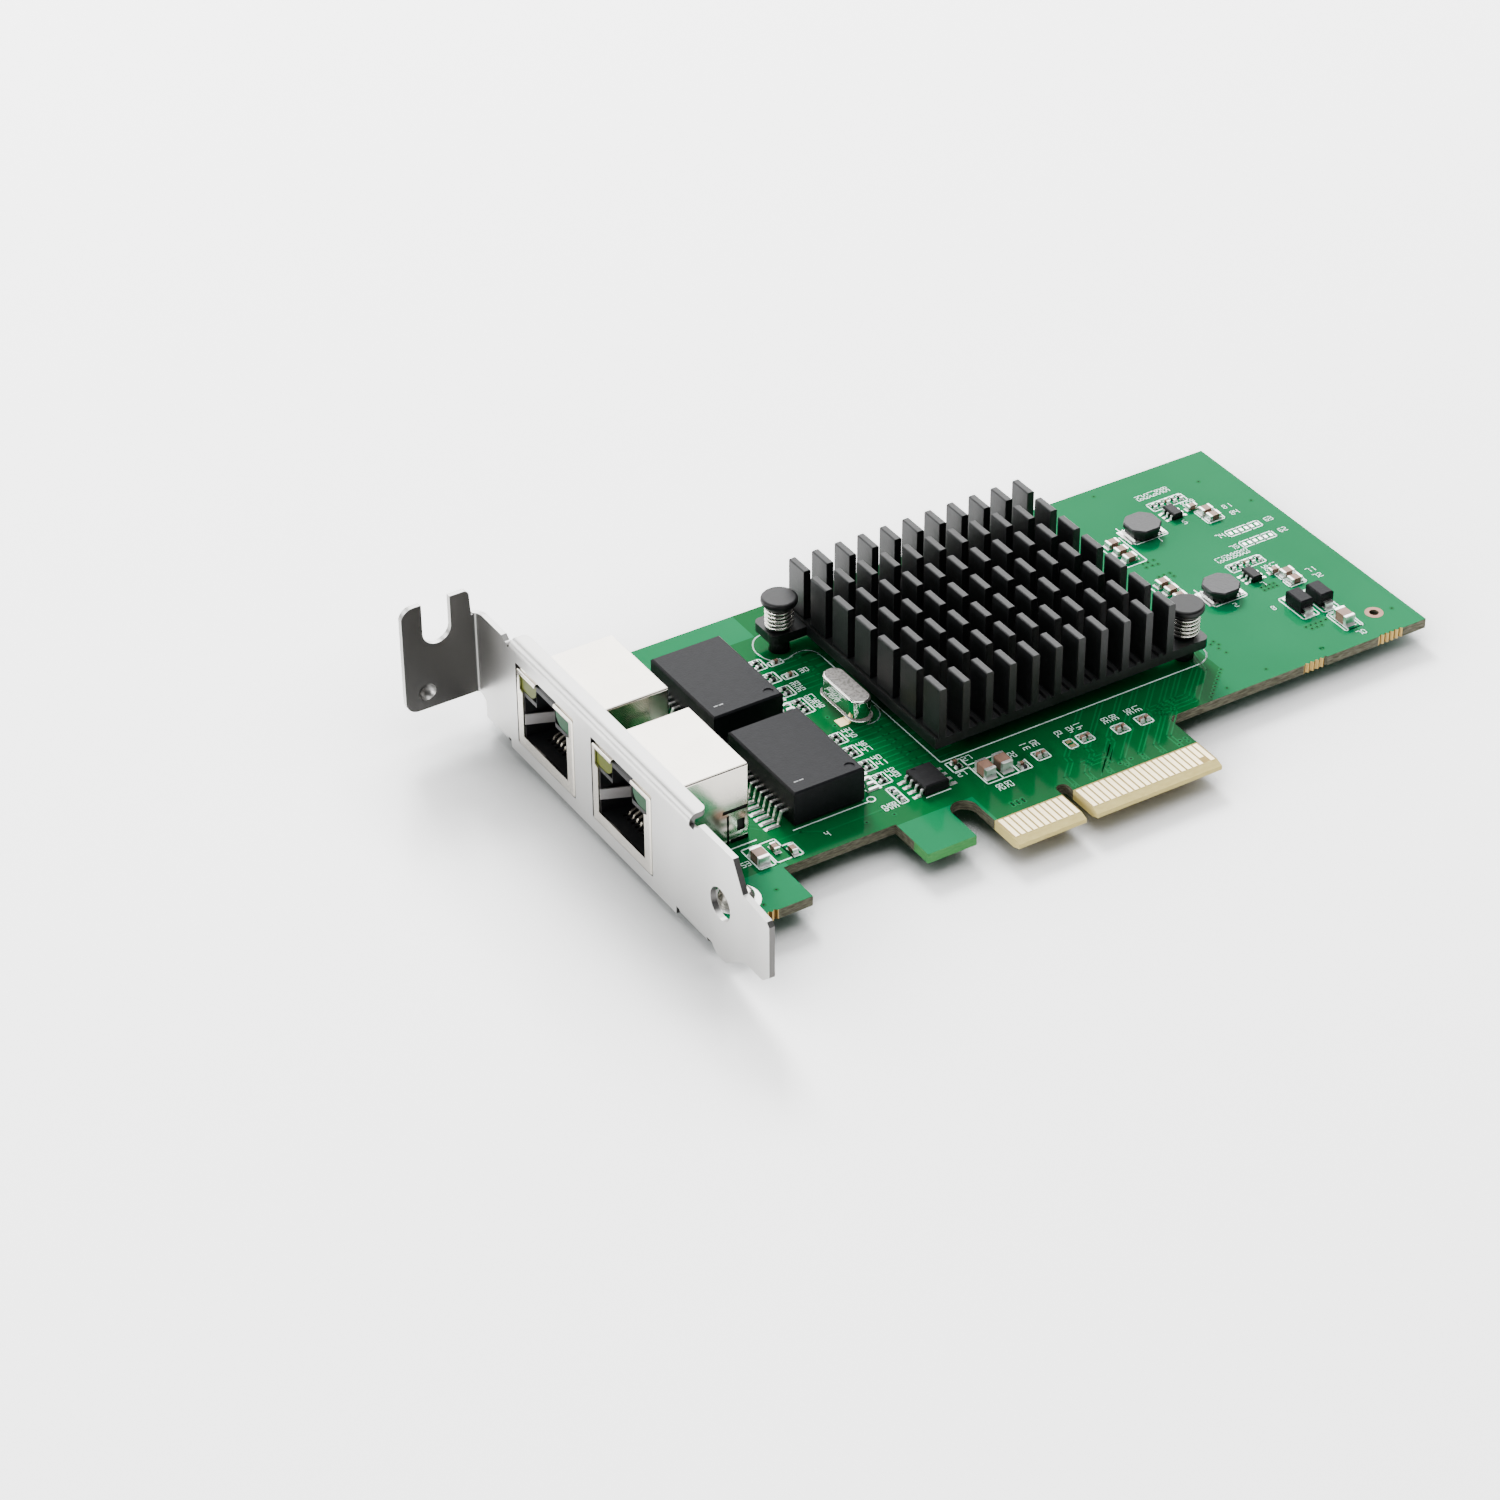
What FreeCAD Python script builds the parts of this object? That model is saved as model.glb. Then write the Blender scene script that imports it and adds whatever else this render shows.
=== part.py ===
import FreeCAD, Part
import Sketcher
import math
import os

# Two-port network interface card with its low-profile bracket.
# Frame: origin at the centre of the edge connector's key notch, on the connector's
# bottom edge, half way through the board.  +X runs along the board away from the
# bracket, +Y away from the connector, +Z out of the component side.  Millimetres.

os.makedirs("parts", exist_ok=True)
V = FreeCAD.Vector
doc = FreeCAD.newDocument("network_card")

# ----------------------------------------------------------------- sizes
SIZES = [
    # circuit board outline
    ("board_thick", 1.57), ("board_left", -56.4), ("board_right", 68.7), ("board_back", 67.45),
    ("front_right", 12.8), ("front_left", 12.4), ("leg_right", -42.2), ("leg_front", 5.0),
    ("hook_left", -24.1), ("hook_right", -16.15), ("hook_front", 4.4), ("cut_right", -12.15),
    ("cut_top", 12.3), ("key_half", 0.95), ("key_top", 7.95), ("edge_right", 22.15),
    ("shoulder_x", 22.8), ("bevel_high", 1.3), ("bevel_deep", 0.45), ("tool_x", 63.3),
    ("tool_y", 18.1), ("tool_dia", 1.4),
    # edge fingers
    ("pad_width", 0.70), ("pad_pitch", 1.00), ("pad_low", 1.3), ("pad_high", 5.6),
    ("pad_short", 2.6), ("pad_thick", 0.05), ("pin_one", -11.5), ("pin_twelve", 1.5),
    # bracket
    ("sheet_thick", 0.86), ("face_x", -58.0), ("bend_in", 0.4), ("plate_low", -1.645),
    ("plate_high", 16.985), ("plate_end", 66.4), ("tip_y", -9.30), ("tongue_low", 1.75),
    ("tongue_high", 12.1), ("tab_y", 68.4), ("tab_out", -69.6), ("tab_low", 2.6),
    ("tab_high", 20.185), ("slot_x", -64.15), ("slot_wide", 4.5), ("slot_floor", 13.085),
    ("flange_in", -55.1), ("flange_from", 10.5), ("flange_to", 58.8), ("gasket_y", 2.8),
    ("gasket_z", 7.43), ("gasket_dia", 5.0), ("port_wide", 16.1), ("port_high", 13.3),
    ("port_one", 49.1), ("port_two", 28.3), ("ear_reach", -47.7), ("ear_wide", 7.0),
    ("ear_hole_x", -51.2), ("ear_hole_a", 9.9), ("ear_hole_b", 63.6), ("collar_low", -2.7),
    # bracket screws
    ("screw_r", 1.45), ("screw_head_r", 2.5), ("screw_head_high", 1.5), ("screw_tip", -3.2),
    # modular jack
    ("jack_wide", 15.6), ("jack_high", 12.6), ("jack_deep", 15.5), ("jack_front", -58.1),
    ("shield_thick", 0.25), ("plug_wide", 11.9), ("plug_low", 1.75), ("plug_high", 8.7),
    ("key_slot_wide", 5.2), ("lamp_low", 9.4), ("contact_pitch", 1.02), ("tail_low", -3.0),
    # transformer modules
    ("mag_long", 17.2), ("mag_wide", 11.4), ("mag_low", 0.3), ("mag_top", 5.7),
    ("mag_pitch", 1.27), ("mag_x", -30.5), ("mag_one", 48.75), ("mag_two", 27.8),
    ("mag_foot_out", 9.1),
    # crystal
    ("crystal_x", -14.6), ("crystal_y", 39.5), ("crystal_top", 3.7),
    # heatsink and its fasteners
    ("sink_left", -11.75), ("sink_right", 29.45), ("sink_front", 21.2), ("sink_back", 60.2),
    ("sink_low", 2.4), ("sink_base", 1.5), ("sink_top", 12.2), ("fin_thick", 1.2),
    ("fin_pitch", 3.90), ("fin_first", 0.55), ("row_long", 3.96), ("row_pitch", 5.84),
    ("ear_reach_x", 5.7), ("ear_reach_b", 6.15), ("ear_long_y", 5.7), ("pin_a_x", -15.0), ("pin_a_y", 56.8),
    ("pin_b_x", 33.2), ("pin_b_y", 24.1), ("pin_cap_r", 2.72), ("pin_cap_top", 9.1),
    ("pin_cap_low", 7.6), ("pin_shaft_r", 1.5), ("spring_r", 1.93), ("spring_wire", 0.22),
    ("chip_side", 25.0), ("chip_high", 2.1),
    # small parts
    ("flash_x", -15.2), ("flash_y", 17.95), ("coil_x", 47.3), ("coil_one_y", 53.6),
    ("coil_two_y", 34.0), ("coil_side", 4.7), ("coil_plate", 5.4), ("coil_top", 1.95),
]
sheet = doc.addObject("Spreadsheet::Sheet", "Dims")
for row, (alias, value) in enumerate(SIZES, start=1):
    sheet.set("A%d" % row, alias)
    sheet.set("B%d" % row, repr(float(value)))
    sheet.setAlias("B%d" % row, alias)
doc.recompute()


class Size:
    """A length that keeps its value and the sheet expression it comes from."""

    def __init__(self, v, e):
        self.v = float(v)
        self.e = e

    def __add__(self, o):
        o = as_size(o)
        return Size(self.v + o.v, "(%s + %s)" % (self.e, o.e))

    __radd__ = __add__

    def __sub__(self, o):
        o = as_size(o)
        return Size(self.v - o.v, "(%s - %s)" % (self.e, o.e))

    def __rsub__(self, o):
        return as_size(o) - self

    def __mul__(self, k):
        return Size(self.v * k, "(%s * %s)" % (self.e, number(k)))

    __rmul__ = __mul__

    def __neg__(self):
        return self * -1.0


def number(k):
    text = "%.9g" % float(k)
    return "(%s)" % text if text.startswith("-") else text


def as_size(o):
    return o if isinstance(o, Size) else Size(o, number(o))


def D(alias):
    return Size(sheet.get(alias), "Dims.%s" % alias)


def val(o):
    return as_size(o).v


TOP = D("board_thick") * 0.5          # component face of the board


def bind(obj, prop, size):
    size = as_size(size)
    if "Dims." in size.e:
        obj.setExpression(prop, size.e)
    else:
        base = obj
        names = prop.split(".")
        if len(names) == 1:
            setattr(base, prop, size.v)


def set_place(obj, x=0, y=0, z=0, turn=None):
    """Placement at x, y, z, each bound to the sheet where it comes from it."""
    rot = turn if turn is not None else FreeCAD.Rotation()
    obj.Placement = FreeCAD.Placement(V(val(x), val(y), val(z)), rot)
    for name, size in (("x", x), ("y", y), ("z", z)):
        size = as_size(size)
        if "Dims." in size.e:
            obj.setExpression("Placement.Base." + name, size.e)


# ----------------------------------------------------------------- sketch and feature helpers
def new_body(name, x=0, y=0, z=0, turn=None):
    body = doc.addObject("PartDesign::Body", name)
    body.Label = name
    set_place(body, x, y, z, turn)
    return body


def plane_of(body, role):
    for f in body.Origin.OriginFeatures:
        if f.Role == role:
            return f
    raise RuntimeError("no plane " + role)


def new_sketch(body, name, plane, offset=0):
    sk = body.newObject("Sketcher::SketchObject", name)
    sk.AttachmentSupport = [(plane_of(body, plane), "")]
    sk.MapMode = "FlatFace"
    sk.AttachmentOffset = FreeCAD.Placement(V(0, 0, val(offset)), FreeCAD.Rotation())
    off = as_size(offset)
    if "Dims." in off.e:
        sk.setExpression("AttachmentOffset.Base.z", off.e)
    return sk


def constrain(sk, args, size):
    size = as_size(size)
    i = sk.addConstraint(Sketcher.Constraint(*(list(args) + [size.v])))
    if "Dims." in size.e:
        sk.setExpression("Constraints[%d]" % i, size.e)


def add_loop(sk, verts):
    """Closed outline; a vertex is (x, y) or (x, y, bulge) for an arc to the next one."""
    n = len(verts)
    pts = [(as_size(a[0]), as_size(a[1])) for a in verts]
    ends = []
    for i in range(n):
        (ax, ay), (bx, by) = pts[i], pts[(i + 1) % n]
        bulge = verts[i][2] if len(verts[i]) > 2 else 0.0
        p, q = V(ax.v, ay.v, 0), V(bx.v, by.v, 0)
        if not bulge:
            g = sk.addGeometry(Part.LineSegment(p, q), False)
            ends.append((g, 1, 2))
            continue
        k = (1.0 - bulge * bulge) / (4.0 * bulge)
        cx = (ax + bx) * 0.5 - (by - ay) * k
        cy = (ay + by) * 0.5 + (bx - ax) * k
        r = math.hypot(p.x - cx.v, p.y - cy.v)
        a0 = math.atan2(p.y - cy.v, p.x - cx.v)
        a1 = math.atan2(q.y - cy.v, q.x - cx.v)
        if bulge < 0:
            a0, a1 = a1, a0
        if a1 <= a0:
            a1 += 2 * math.pi
        g = sk.addGeometry(Part.ArcOfCircle(Part.Circle(V(cx.v, cy.v, 0), V(0, 0, 1), r), a0, a1), False)
        ends.append((g, 1, 2) if bulge > 0 else (g, 2, 1))
        if abs(q.x - p.x) >= abs(q.y - p.y):
            constrain(sk, ("DistanceY", -1, 1, g, 3), cy)
        else:
            constrain(sk, ("DistanceX", -1, 1, g, 3), cx)
    for i in range(n):
        g, _, e = ends[i]
        h, s, _ = ends[(i + 1) % n]
        sk.addConstraint(Sketcher.Constraint("Coincident", g, e, h, s))
    for i in range(n):
        g, s, _ = ends[i]
        constrain(sk, ("DistanceX", -1, 1, g, s), pts[i][0])
        constrain(sk, ("DistanceY", -1, 1, g, s), pts[i][1])


def add_circle(sk, x, y, r):
    g = sk.addGeometry(Part.Circle(V(val(x), val(y), 0), V(0, 0, 1), val(r)), False)
    constrain(sk, ("Radius", g), r)
    constrain(sk, ("DistanceX", -1, 1, g, 3), x)
    constrain(sk, ("DistanceY", -1, 1, g, 3), y)


def box_loop(x0, y0, x1, y1, r=0):
    """Rectangle from its low to its high corner, with rounded corners if r is given."""
    if not r:
        return [(x0, y0), (x1, y0), (x1, y1), (x0, y1)]
    b = math.tan(math.pi / 8)
    x0, y0, x1, y1 = (as_size(a) for a in (x0, y0, x1, y1))
    return [(x0 + r, y0), (x1 - r, y0, b), (x1, y0 + r), (x1, y1 - r, b),
            (x1 - r, y1), (x0 + r, y1, b), (x0, y1 - r), (x0, y0 + r, b)]


def sketch_of(body, name, plane, loops, offset=0, circles=()):
    sk = new_sketch(body, name, plane, offset)
    for loop in loops:
        add_loop(sk, loop)
    for c in circles:
        add_circle(sk, *c)
    doc.recompute()
    return sk


def volume(body):
    return body.Shape.Volume if not body.Shape.isNull() else 0.0


def pad(body, sk, length, reverse=False, both=False, name=None):
    before = volume(body)
    f = body.newObject("PartDesign::Pad", name or sk.Name.replace("sk_", "pad_"))
    f.Profile = sk
    bind(f, "Length", length)
    f.Reversed = reverse
    if both:
        f.Midplane = True
    doc.recompute()
    if volume(body) <= before + 1e-6:
        raise RuntimeError("%s added nothing" % f.Name)
    return f


def pocket(body, sk, length=None, reverse=False, both=False, name=None):
    """Cut; the volume is compared, because a cut that points away does nothing."""
    before = volume(body)
    f = body.newObject("PartDesign::Pocket", name or sk.Name.replace("sk_", "cut_"))
    f.Profile = sk
    if length is None:
        f.Type = "ThroughAll"
        f.Midplane = True
    else:
        bind(f, "Length", length)
    f.Reversed = reverse
    if both:
        f.Midplane = True
    doc.recompute()
    if volume(body) >= before - 1e-6:
        raise RuntimeError("%s cut nothing" % f.Name)
    return f


def revolve(body, sk, name=None):
    f = body.newObject("PartDesign::Revolution", name or sk.Name.replace("sk_", "turn_"))
    f.Profile = sk
    f.ReferenceAxis = (sk, ["V_Axis"])
    f.Angle = 360.0
    doc.recompute()
    return f


def round_edges(body, feature, pick, r, kind="Fillet"):
    names = []
    for i, e in enumerate(feature.Shape.Edges):
        if pick(e):
            names.append("Edge%d" % (i + 1))
    if not names:
        raise RuntimeError("no edges for %s on %s" % (kind, body.Name))
    f = body.newObject("PartDesign::" + kind, "%s_%s" % (kind.lower(), body.Name))
    f.Base = (feature, names)
    if kind == "Fillet":
        bind(f, "Radius", r)
    else:
        bind(f, "Size", r)
    doc.recompute()
    return f


def along(axis, at=None, tol=1e-4):
    """Picks straight edges that run along an axis, where at(point) holds."""
    k = {"x": 0, "y": 1, "z": 2}[axis]

    def pick(e):
        if e.Curve.TypeId != "Part::GeomLine":
            return False
        a, b = e.Vertexes[0].Point, e.Vertexes[-1].Point
        for j in range(3):
            if j != k and abs(a[j] - b[j]) > tol:
                return False
        m = (a + b) * 0.5
        return at(m) if at else True

    return pick


NODES = []


def node(obj, label):
    obj.Label = label
    NODES.append(obj)
    return obj


def copies(label, seed, places):
    """Separate solids of one kind, as one node: the seed's shape at each place."""
    shapes = []
    for item in places:
        x, y, z, turn = (list(item) + [0.0])[:4]
        s = seed.Shape.copy()
        s.Placement = FreeCAD.Placement(V(val(x), val(y), val(z)),
                                        FreeCAD.Rotation(V(0, 0, 1), turn)).multiply(s.Placement)
        shapes.append(s)
    obj = doc.addObject("Part::Feature", label)
    obj.Shape = Part.makeCompound(shapes)
    obj.Placement = FreeCAD.Placement()
    return node(obj, label)


# ================================================================= circuit board
board = new_body("circuit_board")
half = TOP
key_r = D("key_half")
cut_r = (D("cut_right") - D("hook_right")) * 0.5
bite = 0.28            # break-off perforation left on the board's edge
bite_pitch = 0.86
b_small = math.tan(math.pi / 8)


def bites(x_from, count, y, sign=1):
    """Half-round perforations along an edge that runs in +X."""
    out = []
    for i in range(count):
        x = x_from + i * bite_pitch
        out += [(x, y, -1.0), (x + 2 * bite, y)]
    return out


outline = [
    (D("board_left"), D("leg_front")),
] + bites(-50.1, 3, D("leg_front")) + [
    (D("leg_right"), D("leg_front")),
    (D("leg_right"), D("front_left")),
    (D("hook_left"), D("front_left")),
    (D("hook_left"), D("hook_front")),
    (D("hook_right"), D("hook_front")),
    (D("hook_right"), D("cut_top") - cut_r, -1.0),
    (D("cut_right"), D("cut_top") - cut_r),
    (D("cut_right"), 0),
    (-D("key_half"), 0),
    (-D("key_half"), D("key_top") - key_r, -1.0),
    (D("key_half"), D("key_top") - key_r),
    (D("key_half"), 0),
    (D("edge_right"), 0),
    (D("edge_right"), D("front_right") - 0.65, -b_small),
    (D("edge_right") + 0.65, D("front_right")),
] + bites(46.6, 5, D("front_right")) + bites(60.2, 5, D("front_right")) + [
    (D("board_right"), D("front_right")),
    (D("board_right"), D("board_back")),
    (D("board_left"), D("board_back")),
]
sk = sketch_of(board, "sk_board_outline", "XY_Plane", [outline], offset=-half)
f_board = pad(board, sk, D("board_thick"))
# bevel on both faces of the connector edge
dz, hz = D("bevel_deep"), D("bevel_high")
sk = sketch_of(board, "sk_board_bevel", "YZ_Plane", [
    [(-0.5, half + 0.5), (-0.5, half - dz), (0, half - dz), (hz, half), (hz, half + 0.5)],
    [(-0.5, -half - 0.5), (hz, -half - 0.5), (hz, -half), (0, dz - half), (-0.5, dz - half)],
])
pocket(board, sk, 80.0, both=True)
# holes: bracket screws, heatsink pins, tooling hole, jack pegs
peg_holes = []
for cy in (D("port_one"), D("port_two")):
    for s in (-1, 1):
        peg_holes.append((-50.2, cy + 5.72 * s, 1.6))
        peg_holes.append((-47.1, cy + 7.75 * s, 0.8))
sk = sketch_of(board, "sk_board_holes", "XY_Plane", [], offset=-half, circles=[
    (D("ear_hole_x"), D("ear_hole_a"), 1.6), (D("ear_hole_x"), D("ear_hole_b"), 1.6),
    (D("pin_a_x"), D("pin_a_y"), 1.6), (D("pin_b_x"), D("pin_b_y"), 1.6),
    (D("tool_x"), D("tool_y"), D("tool_dia") * 0.5),
] + peg_holes)
pocket(board, sk, D("board_thick") * 2, both=True)
# signal pin holes under each jack and the crystal's two lead holes
pin_holes = []
for cy in (D("port_one"), D("port_two")):
    for i in range(8):
        pin_holes.append((-46.9 if i % 2 else -44.4, cy + (i - 3.5) * 1.02, 0.4))
for s in (-1, 1):
    pin_holes.append((D("crystal_x"), D("crystal_y") + 2.44 * s, 0.4))
sk = sketch_of(board, "sk_board_pin_holes", "XY_Plane", [], offset=-half, circles=pin_holes)
pocket(board, sk, D("board_thick") * 2, both=True)
node(board, "circuit_board")

# ================================================================= edge fingers
pads = []
for label, side in (("edge_contacts_component_side", 1), ("edge_contacts_solder_side", -1)):
    shapes = []
    for i in range(32):
        first = D("pin_one").v if i < 11 else D("pin_twelve").v - 11 * D("pad_pitch").v
        x = first + i * D("pad_pitch").v
        low, high = D("pad_low").v, D("pad_high").v
        if (side > 0 and i == 30) or (side < 0 and i == 0):
            low = D("pad_short").v
        z = half.v if side > 0 else -half.v - D("pad_thick").v
        shapes.append(Part.makeBox(D("pad_width").v, high - low, D("pad_thick").v,
                                   V(x - D("pad_width").v / 2, low, z)))
    obj = doc.addObject("Part::Feature", label)
    obj.Shape = Part.makeCompound(shapes)
    obj.Placement = FreeCAD.Placement()
    node(obj, label)

# ================================================================= bracket, one folded sheet
bracket = new_body("bracket")
t = D("sheet_thick")
ro = D("bend_in") + t
face = D("face_x")
ear_a0, ear_a1 = D("ear_hole_a") - 3.5, D("ear_hole_a") + 3.5
ear_b0 = D("ear_hole_b") - 3.5
low, high = D("plate_low"), D("plate_high")
plate = [
    (D("tip_y"), D("tongue_low") + 1.5), (D("tip_y") + 1.75, D("tongue_low")),
    (-3.3, D("tongue_low")), (1.75, low),
    (3.9, low), (ear_a0 - 1.5, low + 0.95), (ear_a0 - 1.5, low + ro), (ear_a1 + 0.8, low + ro), (ear_a1 + 0.8, low),
    (ear_b0 - 0.8, low), (ear_b0 - 0.8, low + ro), (D("plate_end"), low + ro),
    (D("plate_end"), 1.9), (D("tab_y") - 0.4 - 0.6, 2.5), (D("tab_y") - D("bend_in"), 2.5),
    (D("tab_y") - D("bend_in"), 16.1), (66.6, 16.5), (60.9, 16.5), (60.1, 15.9, 0.6),
    (59.3, 15.4), (D("flange_to"), 15.4), (D("flange_to"), high - ro),
    (D("flange_from"), high - ro), (D("flange_from"), 15.4), (9.3, 15.4, 0.35), (8.6, 16.3, -0.25),
    (7.9, high), (-0.5, high), (-2.9, D("tongue_high") + 0.55), (D("tip_y") + 0.6, D("tongue_high")),
    (D("tip_y"), D("tongue_high") - 0.6),
]
ports = []
for cy in (D("port_one"), D("port_two")):
    w = D("port_wide") * 0.5
    ports.append(box_loop(cy - w, TOP - 0.25, cy + w, TOP + D("port_high"), 0.25))
sk = sketch_of(bracket, "sk_plate", "YZ_Plane", [plate] + ports, offset=face,
               circles=[(D("gasket_y"), D("gasket_z"), D("gasket_dia") * 0.5)])
pad(bracket, sk, t)


def quarter(cx, cy, ri, ra, a_from):
    """Quarter ring about (cx, cy) from angle a_from to a_from + 90 degrees."""
    c0, s0 = round(math.cos(math.radians(a_from))), round(math.sin(math.radians(a_from)))
    c1, s1 = round(math.cos(math.radians(a_from + 90))), round(math.sin(math.radians(a_from + 90)))
    q = math.tan(math.pi / 8)
    return [(cx + ra * c0, cy + ra * s0, q), (cx + ra * c1, cy + ra * s1),
            (cx + ri * c1, cy + ri * s1, -q), (cx + ri * c0, cy + ri * s0)]


# bend from the plate out to the mounting tab
bx, by = face - D("bend_in"), D("tab_y") - D("bend_in")
sk = sketch_of(bracket, "sk_tab_bend", "XY_Plane", [quarter(bx, by, D("bend_in"), ro, 0)], offset=2.6)
pad(bracket, sk, 13.4)
# tab with the open screw slot; the XZ plane's normal points along -Y
sr = D("slot_wide") * 0.5
tab = [
    (bx, D("tab_low")), (bx, 15.8), (bx - 0.25, 15.8), (bx - 0.45, 19.3, 0.35), (bx - 1.3, D("tab_high") - 0.1),
    (D("slot_x") + sr, D("tab_high") - 0.1), (D("slot_x") + sr, D("slot_floor") + sr, -1.0),
    (D("slot_x") - sr, D("slot_floor") + sr), (D("slot_x") - sr, D("tab_high")),
    (D("tab_out") + 2.2, D("tab_high"), 0.35), (D("tab_out"), D("tab_high") - 1.5),
    (D("tab_out"), D("tab_low") + 2.0, b_small), (D("tab_out") + 2.0, D("tab_low")),
]
sk = sketch_of(bracket, "sk_tab", "XZ_Plane", [tab], offset=-(D("tab_y") + t))
f = pad(bracket, sk, t)
# long flange along the upper edge
cx, cz = face + ro, high - ro
sk = sketch_of(bracket, "sk_flange_bend", "XZ_Plane", [quarter(cx, cz, D("bend_in"), ro, 90)],
               offset=-D("flange_to"))
pad(bracket, sk, D("flange_to") - D("flange_from"))
fl = [(cx, D("flange_from")), (D("flange_in") - 1.2, D("flange_from"), b_small),
      (D("flange_in"), D("flange_from") + 1.2), (D("flange_in"), D("flange_to") - 1.2, b_small),
      (D("flange_in") - 1.2, D("flange_to")), (cx, D("flange_to"))]
sk = sketch_of(bracket, "sk_flange", "XY_Plane", [fl], offset=high - t)
pad(bracket, sk, t)
# two ears under the board, each with a drawn collar for its screw
ez = low + ro
for tag, y0, y1, hole in (("a", ear_a0, ear_a1, D("ear_hole_a")),
                          ("b", ear_b0, D("plate_end"), D("ear_hole_b"))):
    sk = sketch_of(bracket, "sk_ear_bend_" + tag, "XZ_Plane", [quarter(cx, ez, D("bend_in"), ro, 180)],
                   offset=-y1)
    pad(bracket, sk, y1 - y0)
    r = 1.6
    ear = [(cx, y0), (D("ear_reach") - r, y0, b_small), (D("ear_reach"), y0 + r),
           (D("ear_reach"), y1 - r, b_small), (D("ear_reach") - r, y1), (cx, y1)]
    sk = sketch_of(bracket, "sk_ear_" + tag, "XY_Plane", [ear], offset=low)
    pad(bracket, sk, t)
    sk = sketch_of(bracket, "sk_collar_" + tag, "XY_Plane", [], offset=D("collar_low"),
                   circles=[(D("ear_hole_x"), hole, 2.1)])
    pad(bracket, sk, low - D("collar_low") + 0.2)
    sk = sketch_of(bracket, "sk_ear_hole_" + tag, "XY_Plane", [], offset=low,
                   circles=[(D("ear_hole_x"), hole, 1.5)])
    pocket(bracket, sk, 4.0, both=True)
# round dimple pressed into the tab: hollow in front, bump behind
sk = sketch_of(bracket, "sk_dimple_bump", "XZ_Plane", [], offset=-(D("tab_y") + t + 0.5),
               circles=[(-66.15, 5.4, 1.2)])
f = pad(bracket, sk, 0.7)
back = val(D("tab_y") + t) + 0.5
round_edges(bracket, f, lambda e: e.Curve.TypeId == "Part::GeomCircle"
            and abs(e.CenterOfMass.y - back) < 1e-3, 0.35)
before = volume(bracket)
cup = bracket.newObject("PartDesign::SubtractiveSphere", "cut_dimple")
cup.AttachmentSupport = [(plane_of(bracket, "XZ_Plane"), "")]
cup.MapMode = "FlatFace"
cup.AttachmentOffset = FreeCAD.Placement(V(-66.15, 5.4, -val(D("tab_y")) + 0.35), FreeCAD.Rotation())
cup.Radius = 1.4
doc.recompute()
if volume(bracket) >= before - 1e-6:
    raise RuntimeError("the dimple cut nothing")
node(bracket, "bracket")
doc.recompute()
print("bracket", round(bracket.Shape.Volume, 2), bracket.Shape.isValid(), len(bracket.Shape.Solids))

# ================================================================= bracket screws
seed = new_body("seed_bracket_screw")
hr, hh = D("screw_head_r"), D("screw_head_high")
sk = sketch_of(seed, "sk_screw", "XZ_Plane", [[
    (0, D("screw_tip")), (D("screw_r") - 0.3, D("screw_tip")), (D("screw_r"), D("screw_tip") + 0.3),
    (D("screw_r"), TOP), (hr, TOP), (hr, TOP + 0.75, 0.28), (1.0, TOP + hh), (0, TOP + hh)]])
f = revolve(seed, sk)
sk = sketch_of(seed, "sk_screw_cross", "XY_Plane", [[
    (-1.35, -0.3), (-0.3, -0.3), (-0.3, -1.35), (0.3, -1.35), (0.3, -0.3), (1.35, -0.3),
    (1.35, 0.3), (0.3, 0.3), (0.3, 1.35), (-0.3, 1.35), (-0.3, 0.3), (-1.35, 0.3)]],
    offset=TOP + hh)
pocket(seed, sk, 0.9)
copies("bracket_screws", seed, [(D("ear_hole_x"), D("ear_hole_a"), 0, 20), (D("ear_hole_x"), D("ear_hole_b"), 0, 50)])

# ================================================================= modular jacks
# Each jack is drawn about its own centre line: local X runs in from its front face,
# local Y across it, local Z up from the board.
w2 = D("jack_wide") * 0.5
st = D("shield_thick")
jd, jh = D("jack_deep"), D("jack_high")


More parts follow.
